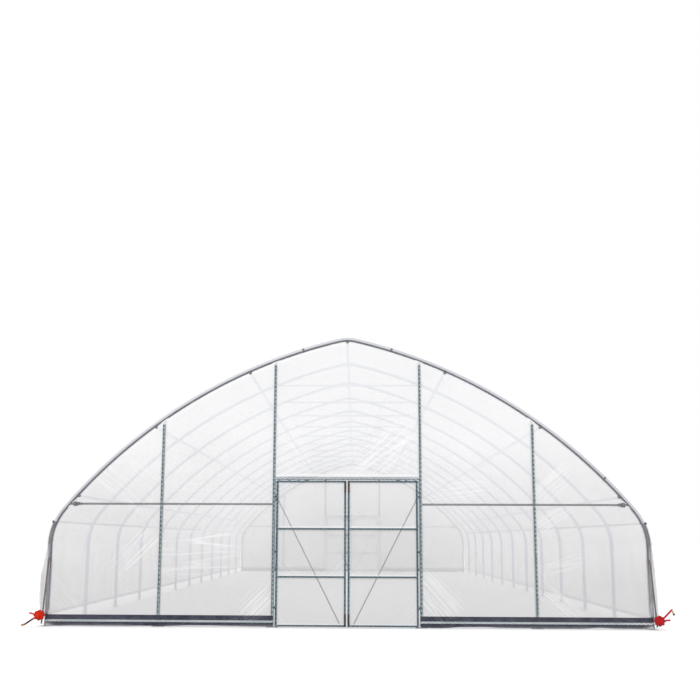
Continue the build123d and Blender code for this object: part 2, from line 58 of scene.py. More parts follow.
# Arch, sizes on the centreline
TUBE_R = 0.030
LEG_H = 1.224
HIP_R = 0.866
HIP_TURN = 39.2
HIP_RAIL_TURN = 22.6
RAFTER_R = 7.771
RIDGE_R = 0.550
BAYS = 12
PURLIN_SHARES = (0.058, 0.371, 0.706)  # of the rafter's sweep, from the hip up
PURLIN_R = 0.017
TIE_DROP = 0.395
SEAT = 0.0003

# End wall
POST_W = 0.046
POST_X = 1.119
MID_POST_X = 2.841
HEADER_Z = 2.244
GIRT_Z = 1.845
GIRT_R = 0.017
FILM_LOW = 0.040
BASE_LOCK_Z = 0.090

# Lock channels
LOCK_W = 0.032
LOCK_D = 0.014
LOCK_STOP = 0.060
LOCK_GAP = 0.004

# Door leaves
LEAF_TUBE = 0.028
LEAF_RAILS = 4
LEAF_RAIL_H = 0.024
LEAF_FILM_INSET = 0.004
BRACE_R = 0.010
BRACE_TOP_SHARE = 0.875  # of the leaf's height, at the hinge side
BRACE_FOOT_SHARE = 0.075  # of the leaf's width, from the meeting edge

# Rolls and cranks
ROLL_R = 0.024
HUB_R = 0.078
KNOB_T = 0.014

# Places read from the frame
LEG_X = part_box("arch_01")[1].x - TUBE_R
FRONT_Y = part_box("arch_01")[0].y + TUBE_R
BAY = -2 * FRONT_Y / BAYS
WALL_FACE = FRONT_Y - TUBE_R
POST_LOCK_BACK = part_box("front_film")[0].y - SEAT
BASE_LOCK_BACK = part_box("front_skirts")[0].y - SEAT
LEAF_LOCK_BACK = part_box("front_left_leaf_film")[0].y - SEAT
SKIRT_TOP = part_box("front_skirts")[1].z
SKIRT_INNER = POST_X - LOCK_W / 2

ENDS = (("front", 1), ("rear", -1))
SIDES = (("left", -1), ("right", 1))
ARCHES = [f"arch_{index + 1:02d}" for index in range(BAYS + 1)]
END_ARCH = {1: ARCHES[0], -1: ARCHES[-1]}
SEED_STEP = 10  # between the noise of like sheets


def leaf_edges(end_name, side):
    """Outer limits of a leaf's frame: left, right, foot and top."""
    low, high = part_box(f"{end_name}_{side}_leaf_film")
    inset = LEAF_FILM_INSET
    return low.x - inset, high.x + inset, low.z - inset, high.z + inset


def polar(centre, radius, angle):
    """Point in the X-Z plane at an angle, in degrees, about a centre."""
    return (centre[0] + radius * cos(radians(angle)), centre[1] + radius * sin(radians(angle)))


# The arch's centreline: tangent arcs from the right leg over the ridge to the left leg
HIP_CENTRE = (LEG_X - HIP_R, LEG_H)
RAFTER_CENTRE = polar(polar(HIP_CENTRE, HIP_R, HIP_TURN), -RAFTER_R, HIP_TURN)
RIDGE_CENTRE = (0, RAFTER_CENTRE[1] + sqrt((RAFTER_R - RIDGE_R) ** 2 - RAFTER_CENTRE[0] ** 2))
RIDGE_TURN = degrees(atan2(RIDGE_CENTRE[1] - RAFTER_CENTRE[1], -RAFTER_CENTRE[0]))
RIDGE_Z = RIDGE_CENTRE[1] + RIDGE_R


def arch_arcs(low_turn):
    """Centre, radius, start and end of each arc of the right half, from low_turn on the hip to the ridge."""
    return [
        (HIP_CENTRE, HIP_R, low_turn, HIP_TURN),
        (RAFTER_CENTRE, RAFTER_R, HIP_TURN, RIDGE_TURN),
        (RIDGE_CENTRE, RIDGE_R, RIDGE_TURN, 90),
    ]


def half_arch(low_turn, step):
    """Points (x, z) and normals of the right half's centreline, evenly spaced, from the hip to the ridge."""
    arcs = arch_arcs(low_turn)
    ends = np.cumsum([0] + [radius * radians(end - start) for _, radius, start, end in arcs])
    places = np.linspace(0, ends[-1], ceil(ends[-1] / step) + 1)
    angles = np.zeros_like(places)
    points = np.zeros((len(places), 2))
    for index, (centre, radius, start, _) in enumerate(arcs):
        here = (places >= ends[index]) & (places <= ends[index + 1])
        angles[here] = np.radians(start) + (places[here] - ends[index]) / radius
        points[here, 0] = centre[0] + radius * np.cos(angles[here])
        points[here, 1] = centre[1] + radius * np.sin(angles[here])
    return points, np.column_stack([np.cos(angles), np.sin(angles)])


def arch_height(x, offset):
    """Height, at a distance x from the middle, of the line offset from the arch's centreline."""
    for centre, radius, start, end in arch_arcs(0):
        angle = degrees(acos(max(-1, min(1, (abs(x) - centre[0]) / (radius + offset)))))
        if start <= angle <= end:
            return polar(centre, radius + offset, angle)[1]
    return LEG_H


def inside_arch(x, z):
    """How far points of the wall lie inside the arch's centreline."""
    x = np.abs(x)
    hip_turn = np.arctan2(z - HIP_CENTRE[1], x - HIP_CENTRE[0])
    ridge_turn = np.arctan2(z - RIDGE_CENTRE[1], x)
    return np.select(
        [ridge_turn > radians(RIDGE_TURN), z < LEG_H, hip_turn < radians(HIP_TURN)],
        [RIDGE_R - np.hypot(x, z - RIDGE_CENTRE[1]), LEG_X - x,
         HIP_R - np.hypot(x - HIP_CENTRE[0], z - HIP_CENTRE[1])],
        RAFTER_R - np.hypot(x - RAFTER_CENTRE[0], z - RAFTER_CENTRE[1]))


# Noise for folds and ripples
NOISE_SIZE = 256


def noise(u, v, seed):
    """Smooth noise from 0 to 1, with features about one unit wide."""
    table = np.random.RandomState(seed).rand(NOISE_SIZE, NOISE_SIZE)
    column, row = np.floor(u).astype(int), np.floor(v).astype(int)
    s, t = u - column, v - row
    s, t = s * s * (3 - 2 * s), t * t * (3 - 2 * t)

    def corner(i, j):
        return table[(column + i) % NOISE_SIZE, (row + j) % NOISE_SIZE]

    low = corner(0, 0) * (1 - s) + corner(1, 0) * s
    high = corner(0, 1) * (1 - s) + corner(1, 1) * s
    return low * (1 - t) + high * t


def crest(u, v, seed, sharp=3):
    """Thin ridges from 0 to 1, where noise passes its middle value."""
    return (1 - np.abs(2 * noise(u, v, seed) - 1)) ** sharp


def rise(value, width):
    """From 0 at or below zero to 1 at width, smoothly."""
    t = np.clip(value / width, 0, 1)
    return t * t * (3 - 2 * t)


# Meshes
def piece(name, parts, material, body="tunnel", smooth=True):
    """A mesh object of one or more parts, each its vertices and faces, that rides on a body."""
    vertices, faces = join(parts)
    mesh = bpy.data.meshes.new(name)
    mesh.from_pydata([tuple(v) for v in vertices], [], faces)
    mesh.polygons.foreach_set("use_smooth", [smooth] * len(mesh.polygons))
    mesh.materials.append(material)
    mesh.update()
    made = bpy.data.objects.new(name, mesh)
    bpy.context.scene.collection.objects.link(made)
    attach(made, body)
    return made


def grid_faces(rows, columns):
    """Quads of a grid of points."""
    first = np.arange(rows * columns).reshape(rows, columns)
    corners = [first[:-1, :-1], first[:-1, 1:], first[1:, 1:], first[1:, :-1]]
    return np.stack([corner.ravel() for corner in corners], axis=1)


def film_piece(name, points, marks, material, body="tunnel", flip=False):
    """A sheet from a grid of points, with values or vectors kept at its points for the material."""
    faces = grid_faces(*points.shape[:2])
    made = piece(name, [(points.reshape(-1, 3), faces[:, ::-1] if flip else faces)], material, body)
    for mark, values in marks.items():
        kind, field = ("FLOAT_VECTOR", "vector") if values.ndim == 3 else ("FLOAT", "value")
        layer = made.data.attributes.new(mark, kind, "POINT")
        layer.data.foreach_set(field, values.astype(np.float32).ravel())
    return made


def raised(line, normals, offset, y, sign=1):
    """Grid of points off a line (x, z) along its normals, at places y along the tunnel."""
    x, z = (line[None, :, axis] + offset * normals[None, :, axis] for axis in (0, 1))
    return np.stack([sign * x, y, z], axis=-1)


def join(parts):
    """Vertices and faces of several meshes as one."""
    vertices, faces, count = [], [], 0
    for part_vertices, part_faces in parts:
        vertices.append(np.asarray(part_vertices, float))
        faces += [tuple(int(i) + count for i in face) for face in part_faces]
        count += len(part_vertices)
    return np.concatenate(vertices), faces


def tube(path, radius, flat_normal, sides=5):
    """Round wire along a path that lies in a plane with the given normal."""
    path = np.asarray(path, float)
    normal = np.asarray(flat_normal, float)
    tangents = np.gradient(path, axis=0)
    tangents /= np.linalg.norm(tangents, axis=1, keepdims=True)
    across = np.cross(tangents, normal)
    turns = 2 * pi * np.arange(sides) / sides
    rings = (path[:, None] + radius * (np.cos(turns)[None, :, None] * across[:, None]
                                       + np.sin(turns)[None, :, None] * normal[None, None]))
    first = np.arange(len(path) * sides).reshape(len(path), sides)
    beside = np.roll(first, -1, axis=1)
    faces = np.stack([a.ravel() for a in (first[:-1], beside[:-1], beside[1:], first[1:])], axis=1)
    return rings.reshape(-1, 3), [*map(tuple, faces), tuple(first[0][::-1]), tuple(first[-1])]


def box(low, high):
    """Box between two corners."""
    (x0, y0, z0), (x1, y1, z1) = low, high
    vertices = [(x, y, z) for z in (z0, z1) for y in (y0, y1) for x in (x0, x1)]
    faces = [(0, 2, 3, 1), (4, 5, 7, 6), (0, 1, 5, 4), (2, 6, 7, 3), (0, 4, 6, 2), (1, 3, 7, 5)]
    return np.array(vertices), faces


# Values in a node tree
class Value:
    """Output of a node, for sums, products and comparisons with numbers and other outputs."""

    def __init__(self, tree, socket):
        self.tree = tree
        self.socket = socket

    def math(self, kind, *others):
        """One sum, product or comparison, with this value first."""
        return add_node(self.tree, "Math", "Value", dict(enumerate((self, *others))), operation=kind)

    def __add__(self, other):
        return self.math("ADD", other)

    def __sub__(self, other):
        return self.math("SUBTRACT", other)

    def __mul__(self, other):
        return self.math("MULTIPLY", other)

    def __truediv__(self, other):
        return self.math("DIVIDE", other)

    def __abs__(self):
        return self.math("ABSOLUTE")


def set_inputs(tree, node, inputs):
    """Gives inputs of a node, by name or by number, a number, a colour or another node's value."""
    used = [socket for socket in node.inputs if socket.enabled]
    for key, value in inputs.items():
        socket = used[key] if isinstance(key, int) else node.inputs[key]
        if isinstance(value, Value):
            tree.links.new(value.socket, socket)
        else:
            socket.default_value = (*value, 1) if socket.type == "RGBA" else value


def add_node(tree, kind, output, inputs=(), **settings):
    """The value of one output of a new node."""
    node = tree.nodes.new("ShaderNode" + kind)
    for setting, choice in settings.items():
        setattr(node, setting, choice)
    set_inputs(tree, node, dict(inputs))
    return Value(tree, next(socket for socket in node.outputs if socket.enabled and socket.name == output))


def texture_place(tree, stretch=(1, 1, 1)):
    """Object coordinates, stretched along the axes."""
    place = add_node(tree, "TexCoord", "Object")
    return add_node(tree, "Mapping", "Vector", {"Vector": place, "Scale": stretch})


def axis_place(tree, axis):
    """One object coordinate."""
    return add_node(tree, "SeparateXYZ", axis, {"Vector": texture_place(tree)})


def noise_node(place, scale=1.0, detail=3.0):
    """Noise texture's value at a place."""
    return add_node(place.tree, "TexNoise", "Fac", {"Vector": place, "Scale": scale, "Detail": detail})


def ramp(value, low, high, places=(0.3, 0.7)):
    """Colour between two ends, by a value."""
    colour = add_node(value.tree, "ValToRGB", "Color", {"Fac": value})
    for element, place, tone in zip(colour.socket.node.color_ramp.elements, places, (low, high)):
        element.position = place
        element.color = (*tone, 1)
    return colour


def blend(share, first, second):
    """Mix of two colours by a share."""
    return add_node(share.tree, "Mix", "Result", {0: share, 1: first, 2: second}, data_type="RGBA")


def mark_value(tree, name, output="Fac"):
    """A value kept at the points of a sheet."""
    return add_node(tree, "Attribute", output, attribute_name=name)


# Materials. A finish is a roughness, a specular level, and the depth and strength of the relief.
METAL_RELIEF = (0.0006, 0.5)
PAIR_FINISH = (0.5, 0.2, *METAL_RELIEF)
FILM_FINISH = (0.3, 0.35, 0.002, 0.35)
SHEET_FINISH = (0.5, 0.3, 0.0008, 0.6)
WOOD_FINISH = (0.5, 0.5, 0.0005, 0.5)
STAIN_SHARE = 0.06  # of the spangle's scale
STAIN_DETAIL = 5.0
ROUGH_SPREAD = 0.2
PAIR_GRAIN = 45.0
PAIR_DETAIL = 4.0
FILM_TINT = (0.990, 0.988, 1.0)
# Grey of the film's lowest part; the film grows darker and greyer towards the bottom
FILM_LOW_GREY = (0.705, 0.695, 0.702)
FILM_PLACES = (0.2, 1.0)  # shares of the grey's top height where the darkest grey ends and the clean film starts
FILM_DETAIL = 4.0
CLOUD_SCALE = 0.9
CLOUD_GREY_SPREAD = 0.3
CLOUD_ALPHA = 0.12
CRINKLE_SCALE = 22.0
ALPHA_LIMITS = (0.02, 0.98)
FOLD_WIDTH = 0.065  # of the noise's range, either side of its middle
FOLD_ALPHA = 0.4
FOLD_RELIEF_SHARE = 0.4  # of the crinkle's relief
FOLD_TINT = (0.965, 0.968, 0.985)
# Lavender grey that the "shade" mark blends film towards: painted shade on the flaps, the leg wraps and the
# hem
PAINTED_SHADE_TINT = (0.58, 0.59, 0.66)
GIRT_CLEAR = 0.62
GIRT_CLEAR_SHARE = 0.9  # of the girt's height
BRACE_CLEAR = 0.30
WEAVE_STRETCH = (4, 4, 300)
SHEET_CLOUD = 9.0
SHEET_DETAIL = 5.0
GRAIN_STRETCH = (90, 8, 90)
GRAIN_DETAIL = 4.0
KNOB_BLACK = (0.02, 0.02, 0.022)
UP_FROM, UP_TO = 0.05, 0.45  # upward part of a surface's normal, over which the painted sky highlight on tops fades in


def new_material(name):
    """A material with nodes, and its node tree."""
    made = bpy.data.materials.new(name)
    made.use_nodes = True
    return made, made.node_tree


def surface(made, colour, height, finish, **others):
    """Sets a material's shader, with relief from a height, and gives the material back."""
    tree = made.node_tree
    roughness, specular, depth, strength = finish
    relief = add_node(tree, "Bump", "Normal", {"Height": height, "Distance": depth, "Strength": strength})
    inputs = {"Base Color": colour, "Normal": relief, "Roughness": roughness, "Specular IOR Level": specular}
    set_inputs(tree, tree.nodes["Principled BSDF"], {**inputs, **others})
    return made


def metal(name, dark, light, roughness, metallic, grain=60.0, specular=0.5):
    """Galvanised or painted metal with a spangle of two tones and a little relief."""
    made, tree = new_material(name)
    place = texture_place(tree)
    spangle = noise_node(place, grain)
    stain = noise_node(place, grain * STAIN_SHARE, STAIN_DETAIL)
    finish = (spangle * ROUGH_SPREAD + (roughness - ROUGH_SPREAD / 2), specular, *METAL_RELIEF)
    return surface(made, ramp((spangle + stain) / 2, dark, light), spangle, finish, Metallic=metallic)


def fold_lines(tree):
    """Thin lines along folds, whose run and strength are kept on the sheet."""
    off = abs(noise_node(mark_value(tree, "fold_way", "Vector"), detail=1.0) - 0.5)
    line = off / -FOLD_WIDTH + 1
    return line.math("MAXIMUM", 0.0) * mark_value(tree, "fold_pull")


def along_girt(tree):
    """How much clearer an end film is where it clings to the girt."""
    return axis_place(tree, "Z").math("COMPARE", GIRT_Z, GIRT_R * GIRT_CLEAR_SHARE) * GIRT_CLEAR


def along_brace(tree):
    """How much clearer a door film is along the leaf's brace."""
    meet, edge, foot, top = leaf_edges("front", "right")
    foot_x, foot_z = meet + BRACE_FOOT_SHARE * (edge - meet), foot + LEAF_RAIL_H / 2
    slope = (foot + BRACE_TOP_SHARE * (top - foot) - foot_z) / (edge - LEAF_TUBE / 2 - foot_x)
    line = abs(axis_place(tree, "X")) * slope + (foot_z - slope * foot_x)
    half_height = BRACE_R * sqrt(1 + slope**2)
    return axis_place(tree, "Z").math("COMPARE", line, half_height) * BRACE_CLEAR


def film_material(name, alpha, grey_top=2.9, clearing=None):
    """Polythene film: hazy, greyer and darker low down, whiter along folds, and clearer by what clearing
    gives.
    """
    made, tree = new_material(name)
    place = texture_place(tree)
    cloud = noise_node(place, CLOUD_SCALE, FILM_DETAIL)
    crinkle = noise_node(place, CRINKLE_SCALE, FILM_DETAIL)
    # Darker and greyer towards the bottom, in cloudy patches
    low_grey = axis_place(tree, "Z") / grey_top + (cloud - 0.5) * CLOUD_GREY_SPREAD
    colour = ramp(low_grey, FILM_LOW_GREY, FILM_TINT, FILM_PLACES)
    # The "shade" mark darkens the film towards a lavender grey: painted shade
    colour = blend(mark_value(tree, "shade"), colour, PAINTED_SHADE_TINT)
    folds = fold_lines(tree) + mark_value(tree, "shine")
    thin = cloud * CLOUD_ALPHA + (alpha - CLOUD_ALPHA / 2) + folds * FOLD_ALPHA + mark_value(tree, "haze")
    if clearing is not None:
        thin = thin - clearing(tree)
    thinnest, thickest = ALPHA_LIMITS
    thin = thin.math("MAXIMUM", thinnest).math("MINIMUM", thickest)
    height = crinkle + folds * FOLD_RELIEF_SHARE
    return surface(made, blend(folds, colour, FOLD_TINT), height, FILM_FINISH, Alpha=thin)


def sheet_material(name, dark, light):
    """Dark woven sheet for the foot of the end walls."""
    made, tree = new_material(name)
    weave = noise_node(texture_place(tree, WEAVE_STRETCH), detail=1.0)
    cloud = noise_node(texture_place(tree), SHEET_CLOUD, SHEET_DETAIL)
    return surface(made, ramp(cloud, dark, light), weave, SHEET_FINISH)


def wood_material(name, dark, light, knob_from, axis):
    """Turned wood, with the knob past a place along an axis in black."""
    made, tree = new_material(name)
    grain = noise_node(texture_place(tree, GRAIN_STRETCH), detail=GRAIN_DETAIL)
    knob = axis_place(tree, axis).math("LESS_THAN", knob_from)
    return surface(made, blend(knob, ramp(grain, dark, light), KNOB_BLACK), grain, WOOD_FINISH)


def pair_material(name, first, second, pick):
    """Metal of two tones, each a dark and a light colour, where pick gives the share of the second."""
    made, tree = new_material(name)
    spangle = noise_node(texture_place(tree), PAIR_GRAIN, PAIR_DETAIL)
    colours = [ramp(spangle, *tones) for tones in (first, second)]
    return surface(made, blend(pick(tree), *colours), spangle, PAIR_FINISH)


def painted_top_highlight(tree):
    """From 0 on sides and undersides to 1 on surfaces that face up: the share of the painted sky highlight.
    """
    normal = add_node(tree, "NewGeometry", "Normal")
    up = add_node(tree, "SeparateXYZ", "Z", {"Vector": normal})
    return add_node(tree, "MapRange", "Result", {"Value": up, "From Min": UP_FROM, "From Max": UP_TO})


def past_hub(centre):
    """1 past a crank's hub, whose axis runs along Y through a centre (x, z): where the arm takes its painted
    shade.
    """
    def pick(tree):
        places = {0: texture_place(tree, (1, 0, 1)), 1: (centre[0], 0, centre[1])}
        return add_node(tree, "VectorMath", "Value", places, operation="DISTANCE").math("GREATER_THAN", HUB_R)
    return pick


def ahead_of(y):
    """1 ahead of a plane at y, at either end of the tunnel."""
    def pick(tree):
        return abs(axis_place(tree, "Y")).math("GREATER_THAN", abs(y))
    return pick


def in_doorway(tree):
    """1 on the doorway's side of the door posts' middle, below the header."""
    inner = abs(axis_place(tree, "X")).math("LESS_THAN", POST_X)
    return inner * axis_place(tree, "Z").math("LESS_THAN", HEADER_Z)


BLUE_TONES = ((0.30, 0.41, 0.58), (0.44, 0.56, 0.74))
# Inner arches, purlins, ties and brackets: the white tones on surfaces that face up are a painted sky
# highlight over the blue-grey steel
SKY_HIGHLIGHT_TONES = ((0.78, 0.80, 0.84), (0.90, 0.91, 0.94))
STEEL = pair_material("galvanised_steel", BLUE_TONES, SKY_HIGHLIGHT_TONES, painted_top_highlight)
DARK_TONES = ((0.13, 0.135, 0.15), (0.27, 0.27, 0.285))
PALE_TONES = ((0.62, 0.63, 0.66), (0.80, 0.81, 0.83))
# Dark steel for the end arches and the clamps; on the end arches the dark is painted shade of the tubes'
# lower halves
FRAME_STEEL = metal("dark_steel_painted_shade", *DARK_TONES, 0.5, 0.3)
WALL_STEEL = pair_material("wall_frame_steel", DARK_TONES, PALE_TONES, in_doorway)
PLATE_STEEL = metal("pale_galvanised_steel", (0.52, 0.53, 0.56), (0.72, 0.73, 0.75), 0.5, 0.2)
CHANNEL = metal("lock_channel_steel", (0.12, 0.18, 0.205), (0.24, 0.31, 0.34), 0.45, 0.3, 60.0, 0.3)
LEAF_TONES = ((0.045, 0.085, 0.110), (0.13, 0.20, 0.235))
BRACE_TONES = ((0.13, 0.16, 0.19), (0.25, 0.30, 0.34))
LEAF_STEEL = pair_material("leaf_steel", BRACE_TONES, LEAF_TONES, ahead_of(LEAF_LOCK_BACK))
ROLL_TONES = ((0.58, 0.59, 0.62), (0.80, 0.81, 0.84))
ROLLED_FILM = pair_material("rolled_film", ROLL_TONES, BLUE_TONES, ahead_of(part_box("left_curtain")[0].y))
WIRE = metal("spring_wire", (0.10, 0.12, 0.13), (0.18, 0.20, 0.21), 0.4, 0.3)
PUCKER = metal("clamped_film", (0.24, 0.31, 0.33), (0.58, 0.66, 0.68), 0.4, 0.0, 34.0, 0.3)
WIDE_PUCKER = metal("wide_clamped_film", (0.42, 0.47, 0.49), (0.82, 0.84, 0.86), 0.4, 0.0, 26.0, 0.3)
LEAF_PUCKER = metal("leaf_clamped_film", (0.08, 0.13, 0.16), (0.22, 0.30, 0.34), 0.4, 0.0, 34.0, 0.3)
LEFT_RED_TONES = ((0.58, 0.012, 0.003), (0.90, 0.040, 0.006))
RIGHT_RED_TONES = ((0.44, 0.012, 0.014), (0.66, 0.028, 0.030))
# Near-black red of the left crank's arm past the hub: painted shade, since the arm lies in shadow
SHADED_ARM_TONES = ((0.030, 0.006, 0.004), (0.085, 0.018, 0.012))
RED_WOOD_TONES = ((0.34, 0.13, 0.07), (0.60, 0.30, 0.18))
PALE_WOOD_TONES = ((0.45, 0.30, 0.17), (0.72, 0.55, 0.36))
LEFT_RED = metal("left_red_enamel", *LEFT_RED_TONES, 0.6, 0.0, 30.0, 0.08)
RIGHT_RED = metal("right_red_enamel", *RIGHT_RED_TONES, 0.6, 0.0, 30.0, 0.08)
SLEEVE = metal("brown_sleeve", (0.022, 0.016, 0.014), (0.060, 0.046, 0.040), 0.6, 0.0)
ROD = metal("weathered_rod", (0.13, 0.10, 0.085), (0.24, 0.20, 0.17), 0.6, 0.3)
BOLT = metal("zinc_bolt", (0.36, 0.37, 0.38), (0.56, 0.56, 0.56), 0.4, 0.5, 120.0)
END_FILM = film_material("end_film", 0.76, clearing=along_girt)
ROOF_FILM = film_material("roof_film", 0.60)
DOOR_FILM = film_material("door_film", 0.74, 3.6, along_brace)
CURTAIN_FILM = film_material("curtain_film", 0.55, 1.1)
WRAP_FILM = film_material("wrap_film", 0.36)
HEM_FILM = film_material("hem_film", 0.02)
SKIRT = sheet_material("dark_sheet", (0.016, 0.017, 0.032), (0.052, 0.054, 0.086))


def finish_node(names, material):
    """Gives CAD nodes a material."""
    for name in names:
        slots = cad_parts[name].data.materials
        slots.clear()
        slots.append(material)


# Roof film
ROOF_STEP = 0.05
ROOF_SAG = 0.014  # between two arches
ROOF_LIFT = 0.0023  # middle of the film above the tubes
WRAP_FROM = -20.0  # degrees round the end tubes, from the front, where the roof film's edge lies
WRAP_ROWS = 9
FLAP_HAZE = 0.33
FLAP_SHADE = 0.75
CROWN_FROM = 55.0  # degrees round the end tubes, where the film turns away and is painted darker: painted shade along the crown
PULL_SEED, PULL_WIDTH, PULL_LEN = 3, 0.11, 1.5  # folds pulled down to the hip rails
PULL_FADE = 0.5
PULL_RISE = 0.006
LONG_SEED, LONG_WIDTH, LONG_LEN = 5, 0.22, 1.3  # folds along the tunnel
LONG_SHARP = 4
LONG_RISE = 0.004
LONG_HAZE_SHARE = 0.5
ROOF_FOLD_HAZE = 0.15


def film_rows():
    """Places along the tunnel: round the front arch, over the bays, and round the rear arch."""
    wrap = np.radians(np.linspace(WRAP_FROM, 90, WRAP_ROWS))
    reach = TUBE_R + ROOF_LIFT
    front_y = FRONT_Y - reach * np.cos(wrap)
    bays_y = np.linspace(FRONT_Y, -FRONT_Y, BAYS * ceil(BAY / ROOF_STEP) + 1)[1:-1]
    y = np.concatenate([front_y, bays_y, -front_y[::-1]])
    lift = np.concatenate([reach * np.sin(wrap), np.full(len(bays_y), reach), reach * np.sin(wrap[::-1])])
    shade = np.where(wrap > radians(CROWN_FROM), 1.0, FLAP_SHADE)
    shade = np.concatenate([shade, np.zeros(len(bays_y)), shade[::-1]])
    return y, lift, shade


def roof_sheet():
    """One sheet over the arches, taut on the tubes, slack between them, and turned over the ends."""
    low = HIP_RAIL_TURN + degrees((LOCK_W / 2 + SEAT) / (HIP_R + TUBE_R))
    right, right_normal = half_arch(low, ROOF_STEP)
    mirror = np.array([-1, 1])
    line = np.concatenate([right, right[-2::-1] * mirror])
    normals = np.concatenate([right_normal, right_normal[-2::-1] * mirror])
    y, lift, shade = film_rows()
    turned = np.sign(shade)[:, None]
    along = np.arange(len(line)) * ROOF_STEP
    run = along[-1]
    u, v = np.meshgrid(along, y)
    between = np.sin(pi * (v - FRONT_Y) / BAY) ** 2 * (1 - turned)
    from_rail = np.minimum(u, run - u)
    pull = crest(v / PULL_WIDTH, from_rail / PULL_LEN, PULL_SEED) * np.exp(-from_rail / PULL_FADE)
    long_fold = crest(u / LONG_WIDTH, v / LONG_LEN, LONG_SEED, LONG_SHARP)
    offset = lift[:, None] - ROOF_SAG * between + between * (PULL_RISE * pull + LONG_RISE * long_fold)
    points = raised(line, normals, offset, v)
    haze = FLAP_HAZE * turned + ROOF_FOLD_HAZE * between * (pull + LONG_HAZE_SHARE * long_fold)
    marks = {"haze": haze, "shade": np.repeat(shade[:, None], u.shape[1], axis=1)}
    made = film_piece("roof_sheet", points, marks, ROOF_FILM, flip=True)
    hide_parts("roof_film")


# End films
WALL_STEP = 0.025
RIM = 0.0308  # the end film's edge, in from the arch's centreline
RIM_WIDTH = 0.045
RIM_DEPTH = 0.029
FILM_MIDDLE = -0.0018  # of the end film's thickness, from the wall's face
SWELL_DEPTH = 0.006
SWELL_WIDTH = 0.7
FILM_FREE = 0.10  # from a post or the skirt to where the film swells freely
GIRT_FREE = 0.15
RIM_FREE = 0.15
RIM_CLEAR = 0.05  # from a post or the girt to where the rim turns in
GIRT_FLAT_HALF = 0.03
FOLD_RUN = 0.5  # changes along a fold, for each metre
FOLD_PULL = 0.55
FOLD_END_SHARE, FOLD_SIDE_SHARE = 0.6, 0.5  # of a bundle's half length and half width, where it fades
FOLD_PATCH = 0.35
PATCH_PULLS = (0.3, 1.1)  # least pull, and what a patch adds
HEADER_SHINE = 0.038  # above the header's middle
SHINE_WIDTH = 0.016
FILM_SPLIT = 0.001  # from the middle of a door post to the edge of a film

# Seed of the first end's films, and what each kind of noise adds to a seed
END_SEED = 1000
SHEET_SEED = 2 * SEED_STEP
SWELL_SEED = 80
PATCH_SEED = 11
BUNDLE_SEED = 7

# Folds of an end film, from outside: x, z, slope in degrees, half length, half width, folds a metre, pull
WALL_FOLDS = (
    (-3.45, 2.32, -38, 0.80, 0.45, 12, 0.80),
    (-3.20, 1.18, 47, 0.55, 0.22, 14, 1.00),
    (-2.25, 1.10, 3, 0.75, 0.40, 6, 0.90),
    (-2.00, 2.08, 1, 0.80, 0.12, 10, 0.50),
    (-1.36, 0.36, 45, 0.42, 0.24, 16, 0.80),
    (-4.30, 0.42, -45, 0.34, 0.18, 16, 0.60),
    (1.32, 2.70, -45, 0.32, 0.22, 14, 0.50),
    (1.66, 2.10, 7, 0.55, 0.18, 14, 0.60),
    (1.36, 0.46, -48, 0.50, 0.32, 14, 0.90),
    (3.16, 2.18, 42, 0.46, 0.20, 14, 0.80),
    (3.13, 1.64, 34, 0.40, 0.14, 16, 0.70),
    (3.27, 0.95, 14, 0.42, 0.12, 12, 0.60),
    (3.22, 0.36, -36, 0.42, 0.18, 16, 0.70),
)
OVER_FOLDS = (
    (0.62, 2.66, 37, 0.75, 0.34, 11, 1.00),
    (0.95, 2.42, 40, 0.32, 0.20, 22, 0.70),
    (-0.85, 2.55, -40, 0.40, 0.20, 14, 0.35),
)


def fold_marks(x, z, seed, folds):
    """Run and strength of the folds: each bundle fades at its rim, and the strongest one shows."""
    way, pull = np.zeros((*x.shape, 3)), np.zeros(x.shape)
    patches = noise(x / FOLD_PATCH, z / FOLD_PATCH, seed + PATCH_SEED)
    least, added = PATCH_PULLS
    for index, (x_middle, z_middle, slope, half_length, half_width, per_metre, strength) in enumerate(folds):
        run, lift = cos(radians(slope)), sin(radians(slope))
        along = (x - x_middle) * run + (z - z_middle) * lift
        across = (z - z_middle) * run - (x - x_middle) * lift
        fade = rise(1 - np.abs(along) / half_length, FOLD_END_SHARE)
        fade *= rise(1 - np.abs(across) / half_width, FOLD_SIDE_SHARE)
        here_pull = FOLD_PULL * strength * fade * (least + added * patches)
        here = here_pull > pull
        places = [per_metre * across, FOLD_RUN * along, 0 * x + seed + BUNDLE_SEED * index]
        way[here] = np.stack(places, axis=-1)[here]
        pull[here] = here_pull[here]
    return {"fold_way": way, "fold_pull": pull}


